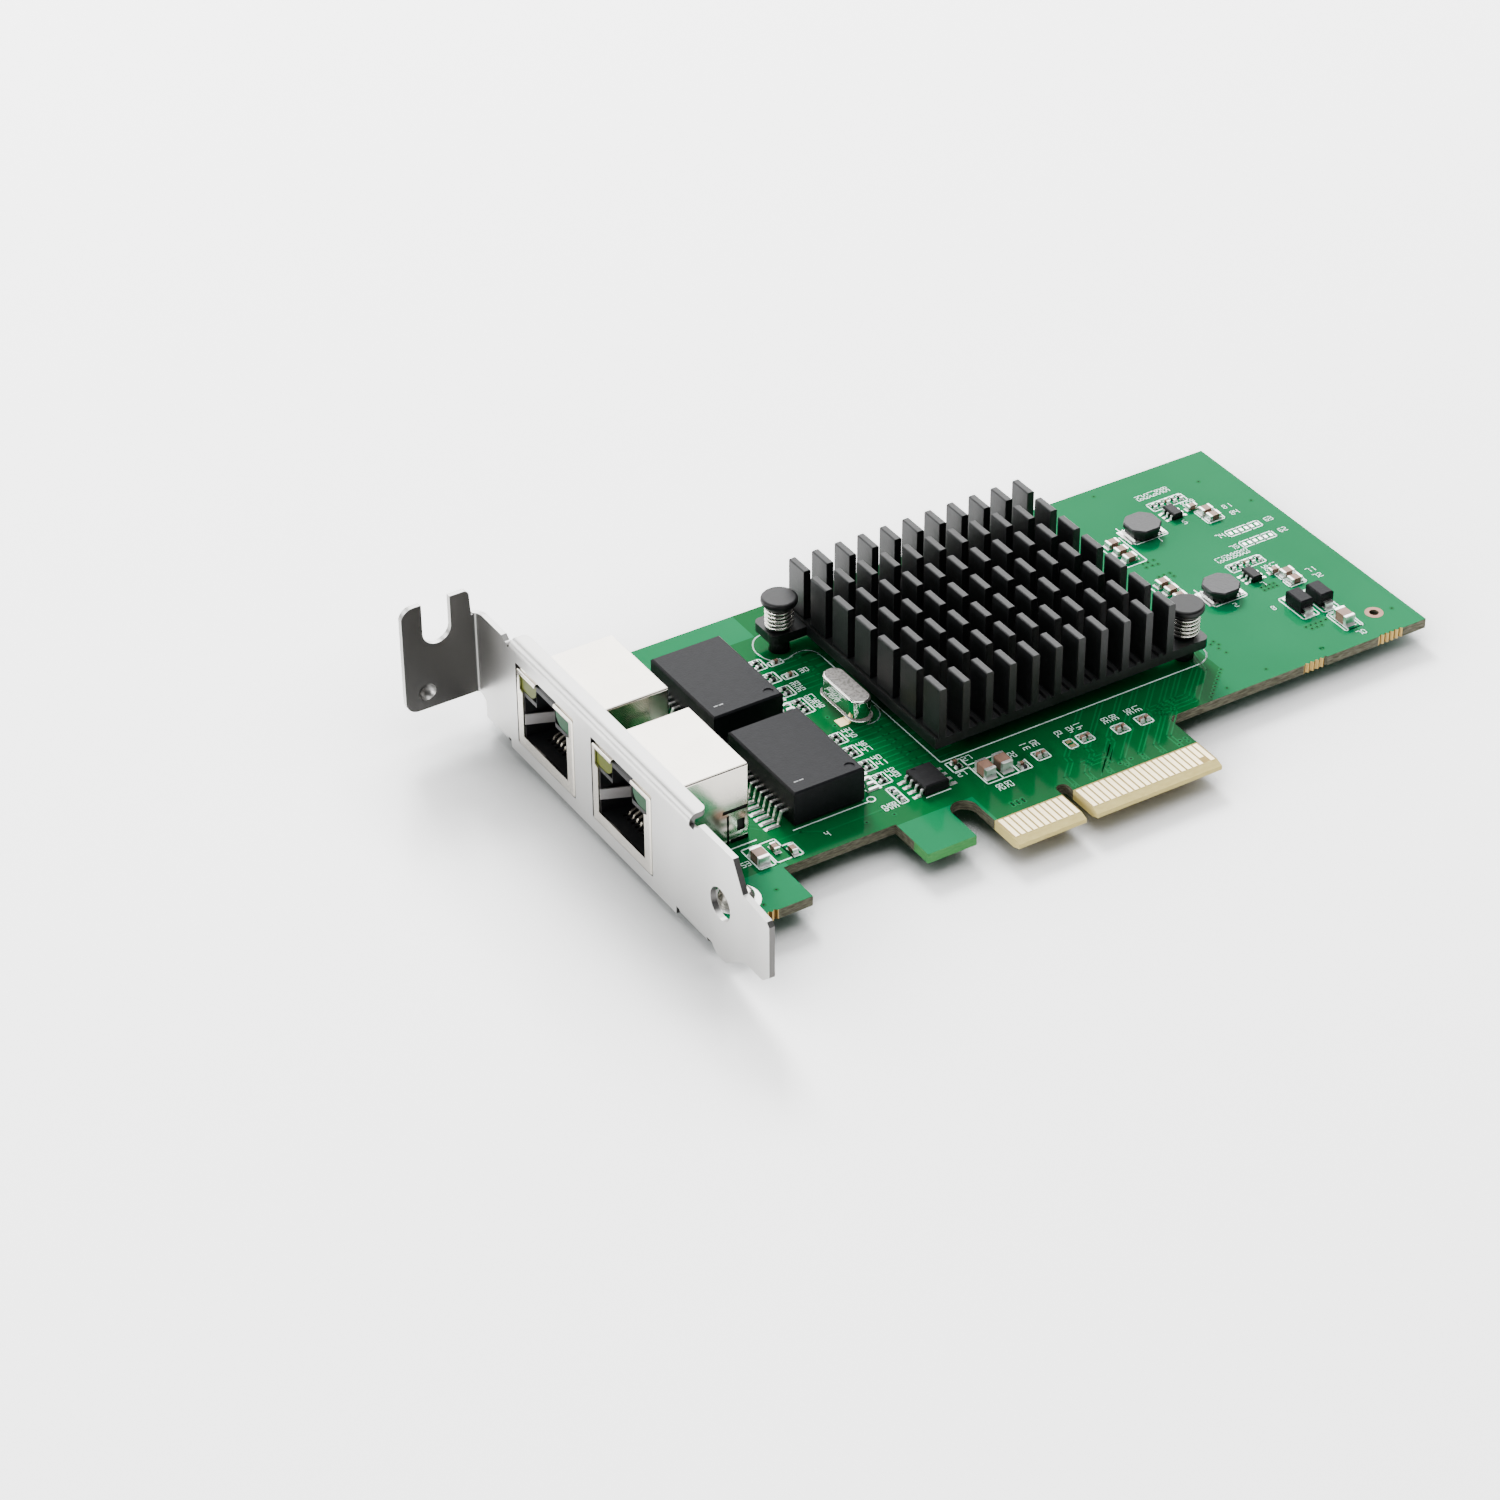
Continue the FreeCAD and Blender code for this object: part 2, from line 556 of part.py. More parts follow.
def jack(number_, centre):
    name = "jack_%d_" % number_
    at = (D("jack_front"), centre, TOP)
    # drawn and folded shield, open below
    b = new_body(name + "shield", *at)
    sk = sketch_of(b, "sk_shield_%d" % number_, "XY_Plane", [box_loop(0, -w2, jd, w2)])
    f = pad(b, sk, jh)
    f = round_edges(b, f, lambda e: along("z")(e) or along("y", lambda m: m.z > 5)(e)
                    or along("x", lambda m: m.z > 5)(e), 0.3)
    sk = sketch_of(b, "sk_shield_in_%d" % number_, "XY_Plane",
                   [box_loop(st, st - w2, jd - st, w2 - st)], offset=-0.01)
    pocket(b, sk, jh - st + 0.01, reverse=True)
    # front opening: plug mouth below, lamp windows above
    mouth = [(-6.15, 1.75), (6.15, 1.75), (6.15, 9.2), (6.9, 9.5), (6.9, jh - 0.55),
             (-6.9, jh - 0.55), (-6.9, 9.5), (-6.15, 9.2)]
    sk = sketch_of(b, "sk_shield_mouth_%d" % number_, "YZ_Plane", [mouth], offset=-0.5)
    pocket(b, sk, 1.2, reverse=True)
    # notch in the top edge over the latch slot
    sk = sketch_of(b, "sk_shield_notch_%d" % number_, "XY_Plane", [box_loop(-0.5, -2.6, 1.7, 2.6)], offset=jh - 1.0)
    pocket(b, sk, 2.0, reverse=True)
    # latch cut-outs low at the back of both sides
    latch = [[(jd - 4.2, 5.35), (jd - 0.3, 5.35), (jd - 0.3, 5.95), (jd - 4.2, 5.95)],
             [(jd - 3.55, -0.1), (jd - 3.2, -0.1), (jd - 3.2, 5.0), (jd - 3.55, 5.0)],
             [(jd - 1.95, 1.95), (jd - 0.7, 1.95), (jd - 0.7, 3.85), (jd - 1.95, 3.85)],
             [(jd - 3.0, -0.1), (jd - 0.1, -0.1), (jd - 0.1, 0.9), (jd - 3.0, 0.9)]]
    sk = sketch_of(b, "sk_shield_latch_%d" % number_, "XZ_Plane", latch)
    pocket(b, sk, 30.0, both=True)
    # two solder pegs and the spring tongues that press on the plug
    pegs = [box_loop(10.7, s * (w2 - st * 0.5) - st * 0.5, 11.6, s * (w2 - st * 0.5) + st * 0.5) for s in (-1, 1)]
    sk = sketch_of(b, "sk_shield_pegs_%d" % number_, "XY_Plane", pegs, offset=0.5)
    pad(b, sk, 3.6, reverse=True)
    tongues = []
    for s in (-1, 1):
        a = [(0.0, s * 6.45), (0.0, s * 6.2), (0.25, s * 6.2), (4.2, s * 4.55), (4.9, s * 4.75),
             (4.9, s * 5.0), (4.15, s * 4.82), (0.3, s * 6.45)]
        tongues.append(a if s < 0 else list(reversed(a)))
    sk = sketch_of(b, "sk_shield_tongues_%d" % number_, "XY_Plane", tongues, offset=3.7)
    pad(b, sk, 1.75)
    node(b, name + "shield")

    # moulded insulator that fills the shield, with the plug cavity
    b = new_body(name + "housing", *at)
    g = st + 0.05
    sk = sketch_of(b, "sk_housing_%d" % number_, "XY_Plane", [box_loop(g, g - w2, jd - g, w2 - g)], offset=0.0)
    pad(b, sk, jh - g)
    pw = D("plug_wide") * 0.5
    ks = D("key_slot_wide") * 0.5
    cavity = [(-pw, D("plug_low")), (pw, D("plug_low")), (pw, D("plug_high")), (ks, D("plug_high")),
              (ks, jh - 1.1), (-ks, jh - 1.1), (-ks, D("plug_high")), (-pw, D("plug_high"))]
    sk = sketch_of(b, "sk_cavity_%d" % number_, "YZ_Plane", [cavity], offset=-0.1)
    pocket(b, sk, 12.1, reverse=True)
    # relief for the side tongues, lamp seats, contact comb and a front chamfer in the floor
    sk = sketch_of(b, "sk_reliefs_%d" % number_, "YZ_Plane",
                   [box_loop(-6.6, 3.5, -pw + 0.1, 5.65), box_loop(pw - 0.1, 3.5, 6.6, 5.65)], offset=-0.1)
    pocket(b, sk, 5.6, reverse=True)
    seats = [box_loop(-6.95, D("lamp_low"), -2.65, jh - 0.5), box_loop(2.65, D("lamp_low"), 6.95, jh - 0.5)]
    sk = sketch_of(b, "sk_lamp_seats_%d" % number_, "YZ_Plane", seats, offset=-0.1)
    pocket(b, sk, 6.1, reverse=True)
    comb = [box_loop(2.4, (i - 3.5) * 1.02 - 0.26, 8.0, (i - 3.5) * 1.02 + 0.26) for i in range(8)]
    sk = sketch_of(b, "sk_comb_%d" % number_, "XY_Plane", comb, offset=-0.01)
    pocket(b, sk, 5.2, reverse=True)
    # behind them the slots close on the wires and hold them
    comb = [box_loop(7.9, (i - 3.5) * 1.02 - 0.18, 14.3, (i - 3.5) * 1.02 + 0.18) for i in range(8)]
    sk = sketch_of(b, "sk_comb_back_%d" % number_, "XY_Plane", comb, offset=-0.01)
    pocket(b, sk, 1.6, reverse=True)
    # two locating posts
    sk = sketch_of(b, "sk_posts_%d" % number_, "XY_Plane", [], offset=0.5,
                   circles=[(7.9, -5.72, 1.5), (7.9, 5.72, 1.5)])
    pad(b, sk, 2.9, reverse=True)
    node(b, name + "housing")

    # eight sprung contacts: solder tail, floor run, bend, and the arm that meets the plug
    seed = new_body("seed_contact_%d" % number_)
    arm = [(3.6, 0.95), (11.03, 0.95), (11.03, D("tail_low")), (11.37, D("tail_low")), (11.37, 1.25),
           (3.95, 1.25), (3.55, 1.55), (3.75, 1.9), (9.8, 4.35), (9.67, 4.6), (3.5, 2.12), (3.15, 1.5)]
    sk = sketch_of(seed, "sk_contact_%d" % number_, "XZ_Plane", [arm])
    pad(seed, sk, 0.36, both=True)
    seed_b = new_body("seed_contact_back_%d" % number_)
    arm = [(3.6, 0.95), (13.53, 0.95), (13.53, D("tail_low")), (13.87, D("tail_low")), (13.87, 1.25),
           (3.95, 1.25), (3.55, 1.55), (3.75, 1.9), (9.8, 4.35), (9.67, 4.6), (3.5, 2.12), (3.15, 1.5)]
    sk = sketch_of(seed_b, "sk_contact_back_%d" % number_, "XZ_Plane", [arm])
    pad(seed_b, sk, 0.36, both=True)
    shapes = []
    for i in range(8):
        s = (seed if i % 2 else seed_b).Shape.copy()
        s.Placement = FreeCAD.Placement(V(D("jack_front").v, val(centre) + (i - 3.5) * D("contact_pitch").v, TOP.v),
                                        FreeCAD.Rotation())
        shapes.append(s)
    obj = doc.addObject("Part::Feature", name + "contacts")
    obj.Shape = Part.makeCompound(shapes)
    obj.Placement = FreeCAD.Placement()
    node(obj, name + "contacts")

    # two indicator lamps in the upper corners; the inner lower corner is rounded
    for tag, s in (("lamp_amber", 1), ("lamp_green", -1)):
        b = new_body(name + tag, *at)
        ya, yb = 2.7 * s, 6.9 * s
        zl, zt = D("lamp_low"), jh - 0.6
        q = 0.41421356 * s
        loop = [(yb, zl + 0.2), (yb, zt), (ya, zt), (ya, zl + 1.9, q), (ya + 1.9 * s, zl), (yb - 0.2 * s, zl)]
        sk = sketch_of(b, "sk_" + name + tag, "YZ_Plane", [loop], offset=0.35)
        f = pad(b, sk, 5.4)
        node(b, name + tag)


jack(1, D("port_one"))
jack(2, D("port_two"))

# ================================================================= transformer modules
def gull_wing(name, root, bend, foot, reach, high, width, thick):
    """One lead: out of the body at root, down from bend, flat from foot to reach."""
    b = new_body(name)
    t = thick
    pts = [(root, high - t), (bend - 0.6 * t, high - t), (foot - t, 0.35 * t), (foot - 0.4 * t, 0),
           (reach, 0), (reach, t), (foot, t), (bend + 0.25 * t, high - 0.25 * t), (bend - 0.2 * t, high),
           (root, high)]
    sk = sketch_of(b, "sk_" + name, "XZ_Plane", [pts])
    pad(b, sk, width, both=True)
    return b


for n_, cy in ((1, D("mag_one")), (2, D("mag_two"))):
    b = new_body("transformer_%d_body" % n_, D("mag_x"), cy, TOP)
    mw, ml = D("mag_wide") * 0.5, D("mag_long") * 0.5
    sk = sketch_of(b, "sk_mag_%d" % n_, "XY_Plane", [box_loop(-mw, -ml, mw, ml)], offset=D("mag_low"))
    f = pad(b, sk, D("mag_top") - D("mag_low"))
    top_z = D("mag_top").v
    f = round_edges(b, f, lambda e: min(v.Point.z for v in e.Vertexes) > top_z - 1e-3, 0.25, "Chamfer")
    sk = sketch_of(b, "sk_mag_mark_%d" % n_, "XY_Plane", [], offset=D("mag_top"),
                   circles=[(mw - 1.5, 1.5 - ml, 0.75)])
    pocket(b, sk, 0.15)
    node(b, "transformer_%d_body" % n_)
    if n_ == 1:
        lead = gull_wing("seed_mag_lead", mw, mw + 1.15, 7.4, D("mag_foot_out"), 2.3, 0.42, 0.25)
    places = []
    for i in range(12):
        dy = (i - 5.5) * D("mag_pitch").v
        places.append((D("mag_x"), cy + dy, TOP, 0))
        places.append((D("mag_x"), cy - dy, TOP, 180))
    copies("transformer_%d_leads" % n_, lead, places)

# ================================================================= crystal
def stadium(cx, cy, wide, long_):
    """Oval with straight sides, long way in Y."""
    r = wide * 0.5
    s = long_ * 0.5 - r
    return [(cx - r, cy - s, 1.0), (cx + r, cy - s), (cx + r, cy + s, 1.0), (cx - r, cy + s)]


b = new_body("crystal_base", D("crystal_x"), D("crystal_y"), TOP)
sk = sketch_of(b, "sk_crystal_base", "XY_Plane", [stadium(0, 0, 3.95, 10.7)], offset=0.0)
pad(b, sk, 0.35)
sk = sketch_of(b, "sk_crystal_leads", "XY_Plane", [], offset=0.2,
               circles=[(0, -2.44, 0.22), (0, 2.44, 0.22)])
pad(b, sk, 3.0, reverse=True)
node(b, "crystal_base")
b = new_body("crystal_can", D("crystal_x"), D("crystal_y"), TOP)
sk = sketch_of(b, "sk_crystal_flange", "XY_Plane", [stadium(0, 0, 3.95, 10.7)], offset=0.35)
f = pad(b, sk, 0.25)
f = round_edges(b, f, lambda e: min(v.Point.z for v in e.Vertexes) > 0.59, 0.1)
sk = sketch_of(b, "sk_crystal_can", "XY_Plane", [stadium(0, 0, 3.45, 9.8)], offset=0.5)
f = pad(b, sk, D("crystal_top") - 0.5)
ct = D("crystal_top").v
f = round_edges(b, f, lambda e: min(v.Point.z for v in e.Vertexes) > ct - 1e-3, 0.32)
node(b, "crystal_can")

# ================================================================= heatsink
b = new_body("heatsink", 0, 0, TOP)
sl, sr_, sf, sb = D("sink_left"), D("sink_right"), D("sink_front"), D("sink_back")
slow, sbase, stop_ = D("sink_low"), D("sink_base"), D("sink_top")
er = 1.1
q = b_small
outline = [
    (sl, sf), (sr_ + D("ear_reach_b") - er, sf, q), (sr_ + D("ear_reach_b"), sf + er),
    (sr_ + D("ear_reach_b"), sf + D("ear_long_y") - er, q), (sr_ + D("ear_reach_b") - er, sf + D("ear_long_y")),
    (sr_, sf + D("ear_long_y")), (sr_, sb), (sl - D("ear_reach_x") + er, sb, q),
    (sl - D("ear_reach_x"), sb - er), (sl - D("ear_reach_x"), sb - D("ear_long_y") + er, q),
    (sl - D("ear_reach_x") + er, sb - D("ear_long_y")), (sl, sb - D("ear_long_y")),
]
sk = sketch_of(b, "sk_sink_base", "XY_Plane", [outline], offset=slow)
pad(b, sk, sbase)
x0 = sl + D("fin_first")
# low ribs between the fins, full length of the extrusion
ribs = [[(sl + 0.02, slow + sbase - 0.1), (sl + 0.46, slow + sbase - 0.1), (sl + 0.40, slow + sbase + 0.3),
         (sl + 0.08, slow + sbase + 0.3)]]
for i in range(10):
    x = x0 + D("fin_thick") * 0.5 + D("fin_pitch") * (i + 0.5) + 0.4
    ribs.append([(x - 0.42, slow + sbase - 0.1), (x + 0.42, slow + sbase - 0.1),
                 (x + 0.3, slow + sbase + 0.45), (x - 0.3, slow + sbase + 0.45)])
sk = sketch_of(b, "sk_sink_ribs", "XZ_Plane", ribs, offset=-sb)
pad(b, sk, sb - sf)
# one row of fins, then the rows left by the cross cuts
fins = []
for i in range(11):
    x = x0 + D("fin_pitch") * i
    fins.append([(x, slow + sbase - 0.1), (x + D("fin_thick"), slow + sbase - 0.1),
                 (x + D("fin_thick"), stop_ - 0.28, q), (x + D("fin_thick") - 0.28, stop_),
                 (x + 0.22, stop_, q), (x, stop_ - 0.22)])
sk = sketch_of(b, "sk_sink_fins", "XZ_Plane", fins, offset=-(sf + D("row_long")))
f_row = pad(b, sk, D("row_long"))
before = volume(b)
rows = b.newObject("PartDesign::LinearPattern", "rows_of_fins")
rows.Originals = [f_row]
rows.Direction = (plane_of(b, "Y_Axis"), [""])
bind(rows, "Length", D("row_pitch") * 6)
rows.Occurrences = 7
b.Tip = rows
doc.recompute()
if volume(b) < before + 1000:
    raise RuntimeError("the fin rows are missing")
sk = sketch_of(b, "sk_sink_holes", "XY_Plane", [], offset=slow,
               circles=[(D("pin_a_x"), D("pin_a_y"), 1.6), (D("pin_b_x"), D("pin_b_y"), 1.6)])
pocket(b, sk, 8.0, both=True)
node(b, "heatsink")

# ================================================================= controller chip, pad, push pins, springs
cxm, cym = (sl + sr_) * 0.5, (sf + sb) * 0.5
cs = D("chip_side") * 0.5
b = new_body("controller_chip", cxm, cym, TOP)
sk = sketch_of(b, "sk_chip_carrier", "XY_Plane", [box_loop(-cs, -cs, cs, cs)])
pad(b, sk, 0.9)
sk = sketch_of(b, "sk_chip_mould", "XY_Plane", [box_loop(1.2 - cs, 1.2 - cs, cs - 1.2, cs - 1.2)], offset=0.8)
pad(b, sk, D("chip_high") - 0.8)
node(b, "controller_chip")
b = new_body("thermal_pad", cxm, cym, TOP)
sk = sketch_of(b, "sk_thermal_pad", "XY_Plane", [box_loop(1.5 - cs, 1.5 - cs, cs - 1.5, cs - 1.5)],
               offset=D("chip_high"))
pad(b, sk, slow - D("chip_high"))
node(b, "thermal_pad")

hb = D("board_thick")
for n_, px_, py_ in ((1, D("pin_a_x"), D("pin_a_y")), (2, D("pin_b_x"), D("pin_b_y"))):
    b = new_body("push_pin_%d" % n_, px_, py_, TOP)
    cr, ct_, cl, sr2 = D("pin_cap_r"), D("pin_cap_top"), D("pin_cap_low"), D("pin_shaft_r")
    prof = [(0, -hb - 2.35), (0.75, -hb - 2.35), (1.0, -hb - 2.1), (1.95, -hb - 0.35), (1.95, -hb),
            (sr2, -hb), (sr2, cl), (cr - 0.5, cl), (cr - 0.1, cl + 0.55), (cr, cl + 0.75), (cr, ct_ - 0.4, b_small),
            (cr - 0.4, ct_), (0, ct_)]
    sk = sketch_of(b, "sk_push_pin_%d" % n_, "XZ_Plane", [prof])
    revolve(b, sk)
    # split that lets the barbs close through the board
    sk = sketch_of(b, "sk_push_pin_split_%d" % n_, "XZ_Plane",
                   [[(-0.3, -hb - 2.5), (0.3, -hb - 2.5), (0.3, 1.2), (-0.3, 1.2)]])
    pocket(b, sk, 6.0, both=True)
    b.Placement.Rotation = FreeCAD.Rotation(V(0, 0, 1), 35)
    node(b, "push_pin_%d" % n_)
    # compression spring under the cap, ends closed against the ear and the cap
    wr = D("spring_wire").v
    z0 = (slow + sbase).v + wr + 0.01
    z1 = cl.v - wr - 0.01
    turns = 5.0
    helix = Part.makeHelix((z1 - z0) / turns, z1 - z0, D("spring_r").v)
    circ = Part.Wire([Part.Circle(V(D("spring_r").v, 0, 0), V(0, 1, 0), wr).toShape()])
    wire = Part.Wire(helix.Edges)
    solid = wire.makePipeShell([circ], True, True)
    if solid.ShapeType != "Solid":
        solid = Part.Solid(solid.Shells[0])
    obj = doc.addObject("Part::Feature", "push_pin_spring_%d" % n_)
    obj.Shape = solid
    set_place(obj, px_, py_, TOP + z0)
    node(obj, "push_pin_spring_%d" % n_)

# ================================================================= eight-lead memory chip
b = new_body("flash_chip_body", D("flash_x"), D("flash_y"), TOP)
sk = sketch_of(b, "sk_flash", "XY_Plane", [box_loop(-1.95, -2.45, 1.95, 2.45)], offset=0.15)
f = pad(b, sk, 1.5)
f = round_edges(b, f, lambda e: min(v.Point.z for v in e.Vertexes) > 1.6, 0.2, "Chamfer")
sk = sketch_of(b, "sk_flash_dot", "XY_Plane", [], offset=1.65, circles=[(-1.2, 1.75, 0.35)])
pocket(b, sk, 0.08)
node(b, "flash_chip_body")
lead = gull_wing("seed_flash_lead", 1.95, 2.25, 2.5, 3.1, 1.0, 0.42, 0.2)
places = []
for i in range(4):
    dy = (i - 1.5) * 1.27
    places.append((D("flash_x"), D("flash_y") + dy, TOP, 0))
    places.append((D("flash_x"), D("flash_y") - dy, TOP, 180))
copies("flash_chip_leads", lead, places)

# ================================================================= power inductors
for n_, cy in ((1, D("coil_one_y")), (2, D("coil_two_y"))):
    b = new_body("inductor_%d_core" % n_, D("coil_x"), cy, TOP)
    c = D("coil_side") * 0.5
    k = 1.15

    def octagon(h, k_):
        return [(-h + k_, -h), (h - k_, -h), (h, -h + k_), (h, h - k_), (h - k_, h), (-h + k_, h), (-h, h - k_), (-h, -h + k_)]
    sk = sketch_of(b, "sk_coil_%d" % n_, "XY_Plane", [octagon(c, k)], offset=0.15)
    pad(b, sk, 1.2)
    sk = sketch_of(b, "sk_coil_top_%d" % n_, "XY_Plane", [octagon(D("coil_plate") * 0.5, 1.45)], offset=1.25)
    f = pad(b, sk, D("coil_top") - 1.25)
    f = round_edges(b, f, lambda e: abs(e.Vertexes[0].Point.z - e.Vertexes[-1].Point.z) > 0.5
                    and min(v.Point.z for v in e.Vertexes) > 1.2, 0.7)
    tz = D("coil_top").v
    round_edges(b, f, lambda e: min(v.Point.z for v in e.Vertexes) > tz - 1e-3, 0.18, "Chamfer")
    node(b, "inductor_%d_core" % n_)
    seed = new_body("seed_coil_clip_%d" % n_)
    clip = [(-c - 0.75, 0), (-c + 1.3, 0), (-c + 1.3, 0.15), (-c, 0.15), (-c, 0.4), (-c - 0.15, 0.4), (-c - 0.15, 0.15), (-c - 0.75, 0.15)]
    sk = sketch_of(seed, "sk_coil_clip_%d" % n_, "XZ_Plane", [clip])
    pad(seed, sk, 3.4, both=True)
    copies("inductor_%d_terminals" % n_, seed, [(D("coil_x"), cy, TOP, 0), (D("coil_x"), cy, TOP, 180)])

# ================================================================= regulators and power diodes
REGULATORS = [(54.1, 55.05), (53.85, 35.05)]
seed = new_body("seed_regulator")
sk = sketch_of(seed, "sk_regulator", "XY_Plane", [box_loop(-0.8, -1.45, 0.8, 1.45)], offset=0.1)
f = pad(seed, sk, 1.0)
round_edges(seed, f, lambda e: min(v.Point.z for v in e.Vertexes) > 1.0, 0.12, "Chamfer")
copies("regulator_bodies", seed, [(x, y, TOP, 0) for x, y in REGULATORS])
lead = gull_wing("seed_regulator_lead", 0.8, 0.98, 1.12, 1.5, 0.7, 0.4, 0.15)
places = []
for x, y in REGULATORS:
    for i in (-1, 0, 1):
        places += [(x, y + i * 0.95, TOP, 0), (x, y + i * 0.95, TOP, 180)]
copies("regulator_leads", lead, places)

DIODES = [(55.0, 25.2), (58.6, 25.1)]
seed = new_body("seed_diode")
sk = sketch_of(seed, "sk_diode", "XY_Plane", [box_loop(-1.15, -1.8, 1.15, 1.8)], offset=0.15)
f = pad(seed, sk, 2.05)
round_edges(seed, f, lambda e: min(v.Point.z for v in e.Vertexes) > 2.1, 0.18, "Chamfer")
copies("power_diode_bodies", seed, [(x, y, TOP, 0) for x, y in DIODES])
seed = new_body("seed_diode_tab")
tabp = [(1.8, 0.95), (2.3, 0.95), (2.5, 0.75), (2.5, 0.0), (1.1, 0.0), (1.1, 0.15), (2.3, 0.15), (2.3, 0.75), (1.8, 0.75)]
sk = sketch_of(seed, "sk_diode_tab", "YZ_Plane", [tabp])
pad(seed, sk, 1.4, both=True)
places = []
for x, y in DIODES:
    places += [(x, y, TOP, 0), (x, y, TOP, 180)]
copies("power_diode_terminals", seed, places)


# ================================================================= chip capacitors and resistors
def chips(label, kinds):
    """Bodies in one node and end caps in another; a kind is length, width, height, cap, places."""
    bodies, caps = [], []
    for long_, wide, high_, cap, places in kinds:
        for x, y, turn in places:
            place = FreeCAD.Placement(V(val(x), val(y), TOP.v), FreeCAD.Rotation(V(0, 0, 1), turn))
            s = Part.makeBox(long_ - 2 * cap, wide, high_, V(cap - long_ / 2, -wide / 2, 0.02))
            s.Placement = place
            bodies.append(s)
            for side in (-1, 1):
                x0_ = -long_ / 2 if side < 0 else long_ / 2 - cap
                s = Part.makeBox(cap, wide + 0.04, high_ + 0.04, V(x0_, -wide / 2 - 0.02, 0.0))
                rim = [e for e in s.Edges if abs(e.CenterOfMass.x - (-long_ / 2 if side < 0 else long_ / 2)) < 1e-6]
                s = s.makeFillet(min(cap, wide, high_) * 0.22, rim)
                s.Placement = place
                caps.append(s)
    for tag, shapes in (("bodies", bodies), ("ends", caps)):
        obj = doc.addObject("Part::Feature", label + "_" + tag)
        obj.Shape = Part.makeCompound(shapes)
        obj.Placement = FreeCAD.Placement()
        node(obj, label + "_" + tag)


chips("large_capacitor", [
    (2.9, 1.7, 1.55, 0.55, [(-7.05, 15.7, 90), (-4.2, 15.75, 90), (58.3, 18.85, 90)]),
    (2.9, 1.7, 1.35, 0.55, [(-44.05, 15.6, 90)]),
])
chips("medium_capacitor", [
    (2.0, 1.25, 0.85, 0.4, [(41.4, 52.95, 0), (41.4, 50.75, 0), (41.4, 48.55, 0), (41.5, 40.45, 0), (41.5, 38.3, 0),
                            (41.5, 36.15, 0), (58.8, 53.05, 0), (58.8, 51.1, 0), (58.75, 33.0, 0), (58.6, 30.85, 0)]),
    (1.6, 0.8, 0.75, 0.3, [(-41.1, 16.4, 90), (-39.2, 14.8, 90), (57.5, 54.95, 0), (57.45, 34.45, 0)]),
])
chips("small_capacitor", [
    (1.0, 0.5, 0.5, 0.22, [(x + s, y, 90) for x, y in ((1.93, 15.05), (9.52, 15.1), (14.99, 14.25), (19.02, 14.25))
                           for s in (-0.48, 0.48)]
     + [(-17.44, 53.95, 0), (-17.39, 50.15, 0), (-9.43, 19.85, 0), (-1.75, 14.55, 0), (55.4, 58.3, 90),
        (55.3, 38.45, 90)]),
])
chips("chip_resistor", [
    (1.0, 0.5, 0.35, 0.2, [(-20.05, y, 0) for y in (55.35, 54.15, 51.55, 50.35, 47.65, 46.45)]
     + [(-20.1, y, 0) for y in (43.95, 42.75, 41.5, 34.0, 32.8, 30.3, 29.1, 26.5, 25.3, 22.8, 21.6)]
     + [(-20.25, 18.8, 90), (-20.25, 16.9, 90), (-9.43, 18.75, 0), (-1.75, 13.75, 0),
        (53.0, 58.3, 90), (54.2, 58.3, 90), (56.6, 58.3, 90), (57.8, 58.3, 90),
        (52.9, 38.45, 90), (54.1, 38.45, 90), (56.5, 38.45, 90), (57.7, 38.45, 90)]),
])

# ================================================================= test and write
doc.recompute()
bad = []
for obj in doc.Objects:
    if "Invalid" in obj.State or "Error" in obj.State:
        bad.append(obj.Name)
for obj in NODES:
    if obj.Shape.isNull() or not obj.Shape.isValid() or not obj.Shape.Solids:
        bad.append(obj.Label + " shape")
if bad:
    raise RuntimeError("failed: " + ", ".join(bad))
for obj in NODES:
    obj.Shape.exportStep("parts/%s.step" % obj.Label)
    bb = obj.Shape.BoundBox
    print("%-32s solids %3d volume %10.3f  x %7.2f %7.2f  y %7.2f %7.2f  z %6.2f %6.2f" % (
        obj.Label, len(obj.Shape.Solids), obj.Shape.Volume, bb.XMin, bb.XMax, bb.YMin, bb.YMax, bb.ZMin, bb.ZMax))
print("nodes", len(NODES))
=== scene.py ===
# Looks of the network interface card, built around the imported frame. Row frame, metres.
import math
import random

import bmesh
import bpy
from mathutils import Matrix, Vector


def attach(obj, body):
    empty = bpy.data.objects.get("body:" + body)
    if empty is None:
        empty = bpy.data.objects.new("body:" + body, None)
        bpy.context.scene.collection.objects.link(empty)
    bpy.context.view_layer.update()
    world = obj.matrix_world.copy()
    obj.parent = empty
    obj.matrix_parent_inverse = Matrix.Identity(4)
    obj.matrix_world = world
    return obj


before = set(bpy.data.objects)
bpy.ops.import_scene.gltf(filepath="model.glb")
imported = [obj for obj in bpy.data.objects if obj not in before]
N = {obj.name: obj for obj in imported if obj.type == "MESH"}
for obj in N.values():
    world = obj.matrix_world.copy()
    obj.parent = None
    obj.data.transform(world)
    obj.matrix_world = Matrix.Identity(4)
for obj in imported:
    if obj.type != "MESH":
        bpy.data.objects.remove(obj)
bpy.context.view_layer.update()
MM = 0.001
TOP = 0.785
rng = random.Random(11)


